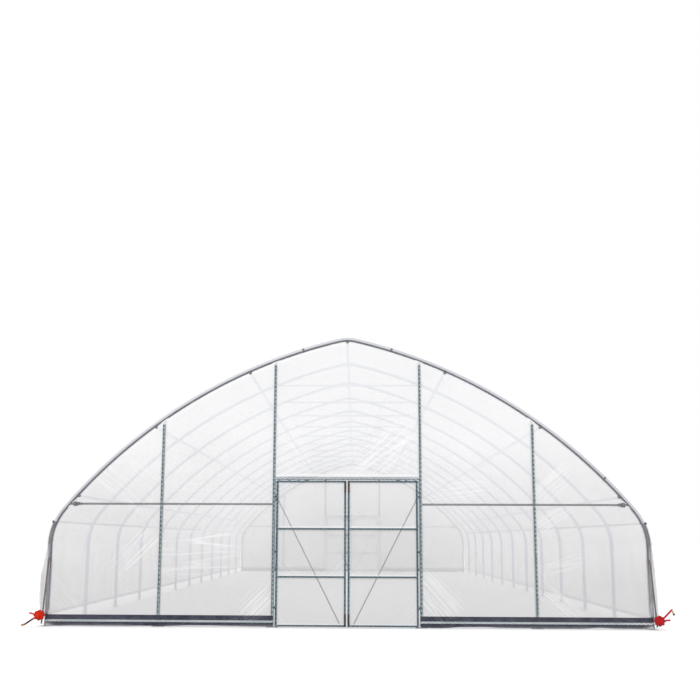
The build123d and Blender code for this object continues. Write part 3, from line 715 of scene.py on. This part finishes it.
def wall_sheet(end_name, part, xs, low, folds, seed, end):
    """One sheet of an end film, from a level lower edge up to the arch, its rim turned in to the tube."""
    tops = np.array([arch_height(x, -RIM) for x in xs])
    rows = ceil((tops.max() - low) / WALL_STEP) + 1
    share = np.linspace(0, 1, rows)[:, None]
    x = np.repeat(np.asarray(xs)[None, :], rows, axis=0)
    z = low + share * (tops[None, :] - low)
    inside = inside_arch(x, z)
    from_posts = np.minimum(np.abs(np.abs(x) - POST_X), np.abs(np.abs(x) - MID_POST_X))
    from_girt = np.abs(z - GIRT_Z)
    over_skirt = rise(z - SKIRT_TOP, FILM_FREE)
    free = rise(from_posts - LOCK_W / 2, FILM_FREE) * over_skirt * rise(from_girt - GIRT_R, GIRT_FREE)
    swell = free * SWELL_DEPTH * (noise(x / SWELL_WIDTH, z / SWELL_WIDTH, seed + SWELL_SEED) - 0.5)
    off_frame = rise(from_posts - POST_W / 2, RIM_CLEAR) * rise(from_girt - GIRT_FLAT_HALF, RIM_CLEAR)
    turned = rise(RIM + RIM_WIDTH - inside, RIM_WIDTH) ** 2 * off_frame * over_skirt
    y = WALL_FACE + FILM_MIDDLE - swell * rise(inside - RIM, RIM_FREE) + RIM_DEPTH * turned
    points = np.stack([x, y * end, z], axis=-1)
    marks = fold_marks(x, z, seed, folds)
    if low == HEADER_Z:
        marks["shine"] = np.exp(-((z - HEADER_Z - HEADER_SHINE) / SHINE_WIDTH) ** 2)
    made = film_piece(f"{end_name}_{part}_sheet", points, marks, END_FILM, flip=end < 0)
    return made


def side_columns():
    """Places across the right sheet, close together where the arch turns down into the leg."""
    line, normals = half_arch(0, WALL_STEP)
    edge = (line - RIM * normals)[:, 0]
    inner = POST_X + FILM_SPLIT
    return np.concatenate([[inner], edge[edge > inner + WALL_STEP / 2][::-1]])


def end_films(end_name, end, seed):
    """Three sheets of one end wall."""
    columns = side_columns()
    right = wall_sheet(end_name, "right", columns, FILM_LOW, WALL_FOLDS, seed, end)
    wall_sheet(end_name, "left", -columns[::-1], FILM_LOW, WALL_FOLDS, seed + SHEET_SEED, end)
    half = POST_X - FILM_SPLIT
    columns = np.linspace(-half, half, ceil(2 * half / WALL_STEP) + 1)
    wall_sheet(end_name, "over_door", columns, HEADER_Z, OVER_FOLDS, seed + 2 * SHEET_SEED, end)
    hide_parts(f"{end_name}_film")


# Door films
DOOR_SEED = 300
DOOR_STEP = 0.0125
DOOR_SWELL = 0.004
DOOR_SWELL_WIDTH = 0.4
DOOR_FREE_POWER = 0.5
DOOR_PATCH = 0.3
DOOR_FOLDS_PER_M = 20.0
DOOR_FOLD_PULL = 0.7
DOOR_FOLD_FADE = 0.22
DOOR_SIDE_SHIFT = 5  # between the noise of the folds from one stile and from the other
RAIL_SHINE = 0.022  # above a rail's middle


def door_film(end_name, side, seed):
    """Film on one leaf, pulled tight over its stiles and rails."""
    low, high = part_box(f"{end_name}_{side}_leaf_film")
    columns = ceil((high.x - low.x) / DOOR_STEP) + 1
    rows = ceil((high.z - low.z) / DOOR_STEP) + 1
    x, z = np.meshgrid(np.linspace(low.x, high.x, columns), np.linspace(low.z, high.z, rows))
    panel = (high.z - low.z) / (LEAF_RAILS - 1)
    share = (z - low.z) / panel
    across_share = np.clip((x - low.x) / (high.x - low.x), 0, 1)
    free = np.sin(pi * across_share) ** DOOR_FREE_POWER * np.abs(np.sin(pi * share)) ** DOOR_FREE_POWER
    depth = free * DOOR_SWELL * (noise(x / DOOR_SWELL_WIDTH, z / DOOR_SWELL_WIDTH, seed + 2) - 0.5)
    end = 1 if end_name == "front" else -1
    points = np.stack([x, (low.y + high.y) / 2 - end * depth, z], axis=-1)
    panel_number = np.minimum(np.floor(share), LEAF_RAILS - 2)
    above_rail = z - low.z - panel_number * panel
    from_side = np.minimum(x - low.x, high.x - x)
    distance = from_side + above_rail
    nearer_right = np.where(x - low.x < high.x - x, 0, 1)
    fold_run = FOLD_RUN * (from_side - above_rail) + DOOR_SIDE_SHIFT * nearer_right + seed
    pull = DOOR_FOLD_PULL * np.exp(-distance / DOOR_FOLD_FADE)
    marks = {
        "fold_way": np.stack([DOOR_FOLDS_PER_M * distance, fold_run, panel_number], axis=-1),
        "fold_pull": pull * noise(x / DOOR_PATCH, z / DOOR_PATCH, seed + 3),
        "shine": np.exp(-((above_rail - RAIL_SHINE) / SHINE_WIDTH) ** 2),
    }
    name = f"{end_name}_{side}_leaf"
    made = film_piece(name + "_sheet", points, marks, DOOR_FILM, f"{end_name}_{side}_door", flip=end < 0)
    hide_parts(name + "_film")


# Side curtains
CURTAIN_SEED = 600
CURTAIN_STEP = 0.045
CURTAIN_T = 0.003
CURTAIN_FREE_POWER = 0.7
CURTAIN_FOLD_WIDTH = 0.16
CURTAIN_FOLD_LEAN = 0.4
CURTAIN_FOLD_RUN = 2.5  # changes down a fold
CURTAIN_FOLD_RISE = 0.008
CURTAIN_FOLD_HAZE = 0.2
CURTAIN_SWELL_WIDTH = 1.1
CURTAIN_SWELL_RUN = 2
CURTAIN_SWELL_MIDDLE = 0.35
CURTAIN_SWELL_RISE = 0.012
CURTAIN_TAUT_SHARE = 0.35  # of the drop, from the rail
BULGES = {"left": (0.044, 0.28), "right": (0.010, 0.08)}  # at the front, and the share down where it starts
BULGE_REACH = 2.2
HIP_POINTS = 9
S_POINTS = 14


def curtain_profile(side):
    """Points and normals down a curtain, as on the right: the hip bend, then an S out to the roll."""
    low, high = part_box(f"{side}_curtain")
    x_low = max(abs(low.x), abs(high.x)) - CURTAIN_T / 2
    roll_z = low.z
    reach = HIP_R + TUBE_R + ROOF_LIFT
    top_turn = HIP_RAIL_TURN - degrees((LOCK_W / 2 + SEAT) / reach)
    x_top = HIP_CENTRE[0] + reach
    height = (LEG_H - roll_z) / 2
    swell = (x_low - x_top) / 2
    s_radius = (height**2 + swell**2) / (2 * swell)
    s_turn = np.arcsin(height / s_radius)
    arcs = (
        (HIP_CENTRE, reach, np.radians(np.linspace(top_turn, 0, HIP_POINTS))),
        ((x_top + s_radius, LEG_H), -s_radius, np.linspace(0, s_turn, S_POINTS)[1:]),
        ((x_low - s_radius, roll_z), s_radius, np.linspace(s_turn, 0, S_POINTS)[1:]),
    )
    normals = [np.column_stack([np.cos(turns), np.sin(turns)]) for _, _, turns in arcs]
    points = [np.add(centre, radius * normal) for (centre, radius, _), normal in zip(arcs, normals)]
    return np.concatenate(points), np.concatenate(normals)


def curtain_sheet(side, sign, seed):
    """One side curtain, with upright folds between the rail and the roll."""
    line, normals = curtain_profile(side)
    down = np.concatenate([[0], np.cumsum(np.linalg.norm(np.diff(line, axis=0), axis=1))])
    low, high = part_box(f"{side}_curtain")
    y = np.linspace(low.y, high.y, ceil((high.y - low.y) / CURTAIN_STEP) + 1)
    u, v = np.meshgrid(down, y)
    share = u / down[-1]
    free = np.sin(pi * share) ** CURTAIN_FREE_POWER
    fold_place = v / CURTAIN_FOLD_WIDTH + CURTAIN_FOLD_LEAN * share
    folds = crest(fold_place, share * CURTAIN_FOLD_RUN, seed) * free
    swell = noise(v / CURTAIN_SWELL_WIDTH, share * CURTAIN_SWELL_RUN, seed + 1) - CURTAIN_SWELL_MIDDLE
    out = free * (CURTAIN_FOLD_RISE * folds + CURTAIN_SWELL_RISE * swell) * rise(share, CURTAIN_TAUT_SHARE)
    bulge, start = BULGES[side]
    bulge_share = np.clip((share - start) / (1 - start), 0, 1)
    out += bulge * np.exp(-(v - low.y) / BULGE_REACH) * np.sin(pi * bulge_share)
    points = raised(line, normals, out, v, sign)
    marks = {"haze": CURTAIN_FOLD_HAZE * folds}
    made = film_piece(f"{side}_curtain_sheet", points, marks, CURTAIN_FILM, flip=sign > 0)
    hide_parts(f"{side}_curtain")


# End film turned round the legs
LEG_WRAP_SEED = 40
LEG_WRAP_LOW = 0.19
LEG_WRAP_STEP = 0.04
LEG_WRAP_HAZE = 0.12
LEG_WRAP_FADE = 0.5  # share of the haze lost at the top
LEG_WRAP_SHADE = 0.9
LEG_STREAK = 0.5
LEG_STREAK_LEN = 0.11
LEG_STREAK_TURN = 0.5
LEG_WRAP_FROM = (-85.0, -20.0)  # degrees round the leg, from the front, at the foot and at the top
LEG_WRAP_SHARE = 0.45  # of the height, where the wrap narrows and how long it takes


def leg_wraps():
    """Film turned round the outer side of each end leg, wider at the foot."""
    reach = TUBE_R + ROOF_LIFT / 2
    height = LEG_H - LEG_WRAP_LOW
    share = np.linspace(0, 1, ceil(height / LEG_WRAP_STEP) + 1)[:, None]
    foot, top = LEG_WRAP_FROM
    start = foot + (top - foot) * rise(share - LEG_WRAP_SHARE, LEG_WRAP_SHARE)
    turn = np.radians(start + (90 - start) * np.linspace(0, 1, WRAP_ROWS)[None, :])
    x, y = LEG_X + reach * np.sin(turn), FRONT_Y - reach * np.cos(turn)
    z = LEG_WRAP_LOW + share * height + 0 * turn
    for end_name, end in ENDS:
        for side, sign in SIDES:
            points = np.stack([sign * x, end * y, z], axis=-1)
            seed = LEG_WRAP_SEED + sign + 2 * end
            streaks = noise(z / LEG_STREAK_LEN, turn / LEG_STREAK_TURN, seed) - 0.5
            haze = LEG_WRAP_HAZE * (1 - LEG_WRAP_FADE * share) + LEG_STREAK * streaks
            marks = {"haze": haze, "shade": LEG_WRAP_SHADE + 0 * turn}
            name = f"{end_name}_{side}_leg_wrap"
            made = film_piece(name, points, marks, WRAP_FILM, flip=sign * end < 0)


# Foot of the end walls
SKIRT_SEED = 50
SKIRT_DROOP = 0.020
SKIRT_STEP = 0.02
SKIRT_ROWS = 17
DROOP_WIDTH = 0.34
RIPPLE_DEPTH = 0.0011
RIPPLE_WIDTH = 0.09
RIPPLE_RUN = 2  # changes down the skirt
BUNCH_WIDTH = 0.05
HEM_OUT = 0.0016  # hem's film ahead of the skirt's face
CORNER_HAZE = 1.1  # where the hem bunches up against the legs
CORNER_WIDTH = 0.08
CORNER_TOP = 0.10
FOOT_HAZE = 0.5  # along the hem's lower edge
FOOT_TOP = 0.055
FOOT_WIDTH = 0.5
LOCK_SHINE = 0.55  # where the hem bunches along the base channel
LOCK_SHINE_WIDTH = 0.024
HEM_SHADE = 0.5


def skirt_sheets(end_name, end, seed):
    """Dark strips beside the doorway with a wavy lower edge, and the end film's clear hem over them."""
    low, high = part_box(f"{end_name}_skirts")
    middle = (low.y + high.y) / 2
    face = (low.y if end > 0 else high.y) - end * HEM_OUT
    along = np.linspace(SKIRT_INNER, high.x, ceil((high.x - SKIRT_INNER) / SKIRT_STEP) + 1)
    x, share = np.meshgrid(along, np.linspace(0, 1, SKIRT_ROWS))
    for side, sign in SIDES:
        droop = SKIRT_DROOP * noise(x / DROOP_WIDTH, 0 * x, seed + sign) ** 2
        z = low.z + droop + share * (high.z - low.z - droop)
        ripple = RIPPLE_DEPTH * (noise(x / RIPPLE_WIDTH, share * RIPPLE_RUN, seed + 5 + sign) - 0.5)
        flip = (sign < 0) == (end > 0)
        points = np.stack([sign * x, middle + ripple, z], axis=-1)
        strip = film_piece(f"{end_name}_{side}_skirt", points, {}, SKIRT, flip=flip)
        points = np.stack([sign * x, face + ripple, z], axis=-1)
        marks = fold_marks(sign * x, z, END_SEED, WALL_FOLDS)
        bunch = noise(x / BUNCH_WIDTH, z / BUNCH_WIDTH, seed + 9)
        corner = CORNER_HAZE * np.exp(-((LEG_X - x) / CORNER_WIDTH) ** 2) * rise(CORNER_TOP - z, CORNER_TOP)
        foot = FOOT_HAZE * rise(FOOT_TOP - z, FOOT_TOP) * noise(x / FOOT_WIDTH, 0 * x, seed + 13 + sign)
        marks["haze"] = corner + foot
        marks["shine"] = LOCK_SHINE * np.exp(-((z - BASE_LOCK_Z) / LOCK_SHINE_WIDTH) ** 2) * bunch
        marks["shade"] = HEM_SHADE + 0 * x
        hem = film_piece(f"{end_name}_{side}_hem", points, marks, HEM_FILM, flip=flip)
    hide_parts(f"{end_name}_skirts")


# Spring wire and the film it clamps in the lock channels
WIRE_R = 0.0018
WIRE_PITCH = 0.066
WIRE_SWING = 0.0095
WIRE_DEPTH_SHARE = 0.74  # of the channel's depth
WIRE_POINTS = 8  # in each wave
ZIGZAG_SHARP = 0.96  # 1 gives straight strokes with sharp turns
PUCKER_LIFT = 0.0008  # of the clamped film, ahead of the channel
PUCKER_BULGE = 0.0030
PUCKER_SPREAD = 1.45  # of the wire's swing, on the far side of the middle
PUCKER_HALF = 0.45  # of a wave
RAIL_SWING_SHARE = 0.6


def wave(start, end, outward, swing, both):
    """Zigzag wire in a channel whose back runs from start to end, and the film on one side or both."""
    start, end, outward = (np.asarray(p, float) for p in (start, end, outward))
    run = end - start
    length = np.linalg.norm(run)
    across = np.cross(outward, run / length)
    waves = int(length / WIRE_PITCH)
    t = np.linspace(0, 1, waves * WIRE_POINTS + 1)
    zigzag = np.arcsin(ZIGZAG_SHARP * np.sin(2 * pi * t * waves)) * 2 / pi
    path = start + t[:, None] * run + swing * zigzag[:, None] * across + outward * LOCK_D * WIRE_DEPTH_SHARE
    face = outward * (LOCK_D + PUCKER_LIFT)
    vertices, faces = [], []
    for half in range(2 * waves):
        way = 1 if half % 2 == 0 else -1
        if way < 0 and not both:
            continue
        middle = (half / 2 + 0.25) / waves
        peak = start + middle * run + way * swing * across + face
        sides = [start + (middle + shift / waves) * run - way * PUCKER_SPREAD * swing * across + face
                 for shift in (-PUCKER_HALF, PUCKER_HALF)]
        bulge = (sides[0] + sides[1]) / 2 + outward * PUCKER_BULGE
        first = len(vertices)
        vertices += [peak, sides[0], bulge, sides[1]]
        turn = (0, 1, 2), (0, 2, 3)
        faces += [tuple(first + i for i in (t if way > 0 else t[::-1])) for t in turn]
    return tube(path, WIRE_R, outward), (np.array(vertices), faces)


def clamp_film(name, runs, material, body="tunnel", swing=WIRE_SWING, both=False):
    """Wire and clamped film along several channels."""
    wires, puckers = zip(*[wave(start, end, outward, swing, both) for start, end, outward in runs])
    piece(f"{name}_wire", wires, WIRE, body)
    piece(f"{name}_clamped_film", puckers, material, body, smooth=False)


def wall_wires(end_name, end):
    """Wire of one end wall's channels."""
    out = (0, -end, 0)
    back = POST_LOCK_BACK * end
    runs = []
    for x in (POST_X, MID_POST_X):
        foot, top = SKIRT_TOP + LOCK_GAP, arch_height(x + LOCK_W / 2, -TUBE_R) - LOCK_STOP
        for _, sign in SIDES:
            runs.append(((sign * x, back, foot), (sign * x, back, top), out))
    clamp_film(f"{end_name}_posts", runs, PUCKER)
    reach = POST_X - LOCK_W / 2 - LOCK_GAP
    runs = [((-reach, back, HEADER_Z), (reach, back, HEADER_Z), out)]
    base = BASE_LOCK_BACK * end
    for _, sign in SIDES:
        ends = [(sign * x, base, BASE_LOCK_Z) for x in (SKIRT_INNER, LEG_X)]
        runs.append((*ends, out))
    clamp_film(f"{end_name}_level", runs, WIDE_PUCKER, both=True)


def hip_wires():
    """Wire of the two hip rails."""
    runs = []
    x, z = polar(HIP_CENTRE, HIP_R + TUBE_R + SEAT, HIP_RAIL_TURN)
    for _, sign in SIDES:
        outward = (sign * cos(radians(HIP_RAIL_TURN)), 0, sin(radians(HIP_RAIL_TURN)))
        runs.append(((sign * x, WALL_FACE, z), (sign * x, -WALL_FACE, z), outward))
    clamp_film("hip", runs, PUCKER)


def leaf_wires(end_name, side, end):
    """Wire of one leaf's channels."""
    out = (0, -end, 0)
    left, right, foot, top = leaf_edges(end_name, side)
    back = LEAF_LOCK_BACK * end
    body = f"{end_name}_{side}_door"
    stiles = [((x, back, foot), (x, back, top), out) for x in (left + LEAF_TUBE / 2, right - LEAF_TUBE / 2)]
    clamp_film(f"{end_name}_{side}_stiles", stiles, LEAF_PUCKER, body)
    runs = []
    for index in range(LEAF_RAILS):
        z = foot + LEAF_RAIL_H / 2 + index * (top - foot - LEAF_RAIL_H) / (LEAF_RAILS - 1)
        ends = [(x, back, z) for x in (left + LEAF_TUBE + LOCK_GAP, right - LEAF_TUBE - LOCK_GAP)]
        runs.append((*ends, out))
    clamp_film(f"{end_name}_{side}_rails", runs, LEAF_PUCKER, body, WIRE_SWING * RAIL_SWING_SHARE)


# Sleeves on the ends of the meeting stiles
SLEEVE_LEN = 0.185
SLEEVE_WALL = 0.0012


def meeting_sleeves(end_name, side, sign, end):
    """Dark sleeves on the top and the foot of a leaf's meeting stile."""
    left, right, foot, top = leaf_edges(end_name, side)
    inner = (right - LEAF_TUBE if sign < 0 else left) - SLEEVE_WALL
    face = LEAF_LOCK_BACK - LOCK_D - PUCKER_BULGE - SLEEVE_WALL
    back = LEAF_LOCK_BACK + LEAF_TUBE
    y_low, y_high = sorted((face * end, back * end))
    parts = []
    for z_low, z_high in ((foot + SLEEVE_WALL, foot + SLEEVE_LEN), (top - SLEEVE_LEN, top - SLEEVE_WALL)):
        parts.append(box((inner, y_low, z_low), (inner + LEAF_TUBE + 2 * SLEEVE_WALL, y_high, z_high)))
    name = f"{end_name}_{side}_leaf_sleeves"
    piece(name, parts, SLEEVE, f"{end_name}_{side}_door", smooth=False)


# Fastenings
BOLT_R = 0.0095
BOLT_H = 0.009
BOLT_SIDES = 6
WASHER_R = 0.015
WASHER_H = 0.0025
WASHER_SIDES = 12
ANCHOR_SPACING = 0.120
PLATE_T = 0.008
CLAMP_SIDES = 14
CLAMP_W = 0.032
CLAMP_LIFT = 0.0045


def disc(at, axis, radius, depth, sides, flat_normal):
    """Short round or six-sided bar from a place along an axis."""
    return tube([at, np.add(at, np.multiply(axis, depth))], radius, flat_normal, sides)


def bolt(at, axis, flat_normal):
    """Hexagon head on a washer."""
    head = np.add(at, np.multiply(axis, WASHER_H))
    return [disc(at, axis, WASHER_R, WASHER_H, WASHER_SIDES, flat_normal),
            disc(head, axis, BOLT_R, BOLT_H, BOLT_SIDES, flat_normal)]


def anchor_bolts():
    """Two bolts in each base plate."""
    shifts = (-ANCHOR_SPACING / 2, ANCHOR_SPACING / 2)
    places = [(sign * LEG_X, FRONT_Y + BAY * index + shift)
              for index in range(BAYS + 1) for _, sign in SIDES for shift in shifts]
    places += [(sign * x + shift, end * (WALL_FACE + POST_W / 2))
               for x in (POST_X, MID_POST_X) for _, sign in SIDES for _, end in ENDS for shift in shifts]
    parts = [part for x, y in places for part in bolt((x, y, PLATE_T), (0, 0, 1), (1, 0, 0))]
    piece("anchor_bolts", parts, BOLT, smooth=False)


def rafter_turn(share):
    """Angle about the rafter's centre at a share of its sweep."""
    return HIP_TURN + share * (RIDGE_TURN - HIP_TURN)


def purlin_clamps():
    """A band round each purlin under each arch, and a dark cap over its ends."""
    drop = TUBE_R + PURLIN_R
    places = [(0, RIDGE_Z - drop)]
    for share in PURLIN_SHARES:
        x, z = polar(RAFTER_CENTRE, RAFTER_R - drop, rafter_turn(share))
        places += [(x, z), (-x, z)]
    radius = PURLIN_R + CLAMP_LIFT
    bands, caps = [], []
    for x, z in places:
        for index in range(1, BAYS):
            start = (x, FRONT_Y + BAY * index - CLAMP_W / 2, z)
            bands.append(disc(start, (0, 1, 0), radius, CLAMP_W, CLAMP_SIDES, (1, 0, 0)))
        for _, end in ENDS:
            start = (x, end * (WALL_FACE - CLAMP_LIFT), z)
            caps.append(disc(start, (0, end, 0), radius, TUBE_R + CLAMP_W, CLAMP_SIDES, (1, 0, 0)))
    piece("purlin_clamps", bands, STEEL)
    piece("end_purlin_clamps", caps, FRAME_STEEL)


def arch_band(index, x, z, turn, sign, lift):
    """Band round an arch's tube, where its normal stands at an angle."""
    tangent = np.array([-sign * sin(radians(turn)), 0, cos(radians(turn))])
    at = np.array([sign * x, FRONT_Y + BAY * index, z]) - tangent * CLAMP_W / 2
    return disc(at, tangent, TUBE_R + lift, CLAMP_W, CLAMP_SIDES, (0, 1, 0))


FILM_CLAMP_X = (-0.69, 0.69, 3.92)
FILM_CLAMP_LIFT = 0.0032
POST_CLAMP_LIFT = 0.0016
GIRT_CLAMPS = ((0.085, 0.135, 0.022), (0.135, 0.175, 0.014), (0.175, 0.215, 0.007))  # from, to and lift


def rafter_place(x):
    """Place and angle on the rafter at a distance x from the middle."""
    turn = degrees(acos((x - RAFTER_CENTRE[0]) / RAFTER_R))
    return (*polar(RAFTER_CENTRE, RAFTER_R, turn), turn)


def end_clamps():
    """Bands over the film on the end arches and the girts' ends, and bands at the posts and the ties."""
    over_film, under_film = [], []
    girt_end = RAFTER_CENTRE[0] + sqrt(RAFTER_R**2 - (GIRT_Z - RAFTER_CENTRE[1]) ** 2)
    for index, (_, end) in zip((0, BAYS), ENDS):
        for x in FILM_CLAMP_X:
            sign = 1 if x > 0 else -1
            over_film.append(arch_band(index, *rafter_place(abs(x)), sign, FILM_CLAMP_LIFT))
        for _, sign in SIDES:
            for near, far, lift in GIRT_CLAMPS:
                start = (sign * (girt_end - far), end * (WALL_FACE + GIRT_R), GIRT_Z)
                over_film.append(disc(start, (sign, 0, 0), GIRT_R + lift, far - near, CLAMP_SIDES, (0, 1, 0)))
            for x in (POST_X, MID_POST_X):
                under_film.append(arch_band(index, *rafter_place(x), sign, POST_CLAMP_LIFT))
    tie_turn = degrees(np.arcsin((RIDGE_Z - TIE_DROP - RAFTER_CENTRE[1]) / RAFTER_R))
    for index in range(1, BAYS):
        for _, sign in SIDES:
            x, z = polar(RAFTER_CENTRE, RAFTER_R, tie_turn)
            under_film.append(arch_band(index, x, z, tie_turn, sign, POST_CLAMP_LIFT))
    piece("film_clamps", over_film, FRAME_STEEL)
    piece("post_clamps", under_film, FRAME_STEEL)


LOBES = 8
LOBE_PCD_R = 0.061
COVER_T = 0.006
COVER_BOLT_SHARE = 0.9  # of the size of a full bolt


def winch_centre(side, sign):
    """Place (x, z) of a winch's axis, in the middle of its roll."""
    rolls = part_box("roll_tubes")
    outer = rolls[1].x if sign > 0 else rolls[0].x
    return outer - sign * ROLL_R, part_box(f"{side}_curtain")[0].z


def winch_bolts():
    """Small bolts in the lobes of each gear case, near black: real bolt heads whose dark colour is also
    painted shade of the hub.
    """
    radius, depth = BOLT_R * COVER_BOLT_SHARE, BOLT_H * COVER_BOLT_SHARE
    for side, sign in SIDES:
        centre = winch_centre(side, sign)
        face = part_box(f"{side}_winch")[0].y + COVER_T
        parts = []
        for index in range(LOBES):
            x, z = polar(centre, LOBE_PCD_R, 360 / LOBES * index)
            parts.append(disc((x, face, z), (0, -1, 0), radius, depth, BOLT_SIDES, (1, 0, 0)))
        piece(f"{side}_winch_bolts", parts, SLEEVE, smooth=False)


# Camera, light and floor
def make_camera():
    """Camera at the photograph's place, level with its horizon."""
    yaw, pitch, roll = (radians(a) for a in (CAMERA_YAW, CAMERA_PITCH, CAMERA_ROLL))
    forward = Vector((sin(yaw) * cos(pitch), cos(yaw) * cos(pitch), sin(pitch)))
    right = Vector((cos(yaw), -sin(yaw), 0))
    up = right.cross(forward)
    rolled_right = right * cos(roll) + up * sin(roll)
    rolled_up = up * cos(roll) - right * sin(roll)
    data = bpy.data.cameras.new("camera")
    data.sensor_width = SENSOR_MM
    data.lens = FOCAL_PX * SENSOR_MM / IMAGE_PX
    data.shift_x = (IMAGE_PX / 2 - CENTRE_PX[0]) / IMAGE_PX
    data.shift_y = (CENTRE_PX[1] - IMAGE_PX / 2) / IMAGE_PX
    data.clip_end = CAMERA_REACH
    camera = bpy.data.objects.new("camera", data)
    camera.matrix_world = Matrix((rolled_right, rolled_up, -forward)).transposed().to_4x4()
    camera.location = CAMERA_AT
    bpy.context.scene.collection.objects.link(camera)
    bpy.context.scene.camera = camera


def seen_directly(tree):
    """1 for rays from the camera, reflections and refractions, 0 for light that falls on a surface."""
    camera, glossy, through = (add_node(tree, "LightPath", f"Is {kind} Ray")
                               for kind in ("Camera", "Glossy", "Transmission"))
    return camera.math("MAXIMUM", glossy).math("MAXIMUM", through)


AMBIENT = 0.84
SUN_STRENGTH = 0.9
SUN_ANGLE = 25  # degrees
SUN_TURN = (42, -28, 0)  # degrees
WHITE = (1, 1, 1)
FLOOR_TONES = ((0.80, 0.80, 0.80), (0.82, 0.82, 0.82))
FLOOR_GRAIN = 0.3
FLOOR_ROUGH = 0.9
FLOOR_GLOW = 0.3
FLOOR_HALF = 150


def make_light():
    """White surroundings and one broad sun from the upper left."""
    world = bpy.data.worlds.new("studio")
    bpy.context.scene.world = world
    world.use_nodes = True
    tree = world.node_tree
    strength = seen_directly(tree) * (1 - AMBIENT) + AMBIENT
    set_inputs(tree, tree.nodes["Background"], {"Color": WHITE, "Strength": strength})
    data = bpy.data.lights.new("sun", "SUN")
    data.energy = SUN_STRENGTH
    data.angle = radians(SUN_ANGLE)
    sun = bpy.data.objects.new("sun", data)
    sun.rotation_euler = [radians(turn) for turn in SUN_TURN]
    bpy.context.scene.collection.objects.link(sun)


def make_floor():
    """Plain pale floor that keeps the shadow."""
    made, tree = new_material("floor")
    set_inputs(tree, tree.nodes["Principled BSDF"], {
        "Base Color": ramp(noise_node(texture_place(tree), FLOOR_GRAIN), *FLOOR_TONES),
        "Roughness": FLOOR_ROUGH,
        "Specular IOR Level": 0.0,
        "Emission Color": WHITE,
        "Emission Strength": seen_directly(tree) * FLOOR_GLOW,
    })
    corners = [(-1, -1, 0), (1, -1, 0), (1, 1, 0), (-1, 1, 0)]
    mesh = bpy.data.meshes.new("floor")
    mesh.from_pydata([(x * FLOOR_HALF, y * FLOOR_HALF, z) for x, y, z in corners], [], [(0, 1, 2, 3)])
    mesh.materials.append(made)
    floor = bpy.data.objects.new("floor", mesh)
    bpy.context.scene.collection.objects.link(floor)


bpy.context.scene.view_settings.view_transform = "Standard"
make_camera()
make_light()
make_floor()

# The left crank is red at the hub and painted shade along the arm past it
left_arm_painted_shade = past_hub(winch_centre("left", -1))
knob_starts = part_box("left_grip")[0].y - KNOB_T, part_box("right_grip")[0].z + 2 * KNOB_T
for material, nodes in (
    (STEEL, [*ARCHES[1:-1], "purlins", "collar_ties", "hinge_brackets"]),
    (ROLLED_FILM, ["roll_tubes"]),
    (FRAME_STEEL, END_ARCH.values()),
    (WALL_STEEL, ["front_wall_frame", "rear_wall_frame"]),
    (PLATE_STEEL, ["base_plates"]),
    (CHANNEL, ["hip_rails", "front_lock_channels", "rear_lock_channels"]),
    (LEAF_STEEL, [f"{end}_{side}_leaf" for end, _ in ENDS for side, _ in SIDES]),
    (LEFT_RED, ["left_winch"]),
    (RIGHT_RED, ["right_winch", "right_crank"]),
    (pair_material("left_crank_red_painted_shade", LEFT_RED_TONES, SHADED_ARM_TONES, left_arm_painted_shade), ["left_crank"]),
    (ROD, ["guide_rods"]),
    (wood_material("left_grip_wood", *RED_WOOD_TONES, knob_starts[0], "Y"), ["left_grip"]),
    (wood_material("right_grip_wood", *PALE_WOOD_TONES, knob_starts[1], "Z"), ["right_grip"]),
):
    finish_node(nodes, material)

roof_sheet()
for number, (end_name, end) in enumerate(ENDS):
    end_films(end_name, end, END_SEED * (number + 1))
    skirt_sheets(end_name, end, SKIRT_SEED + 2 * SEED_STEP * number)
    wall_wires(end_name, end)
    for side_number, (side, sign) in enumerate(SIDES):
        door_film(end_name, side, DOOR_SEED + SEED_STEP * (4 * number + side_number))
        leaf_wires(end_name, side, end)
        meeting_sleeves(end_name, side, sign, end)
for number, (side, sign) in enumerate(SIDES):
    curtain_sheet(side, sign, CURTAIN_SEED + SEED_STEP * number)
hip_wires()
leg_wraps()
anchor_bolts()
purlin_clamps()
end_clamps()
winch_bolts()
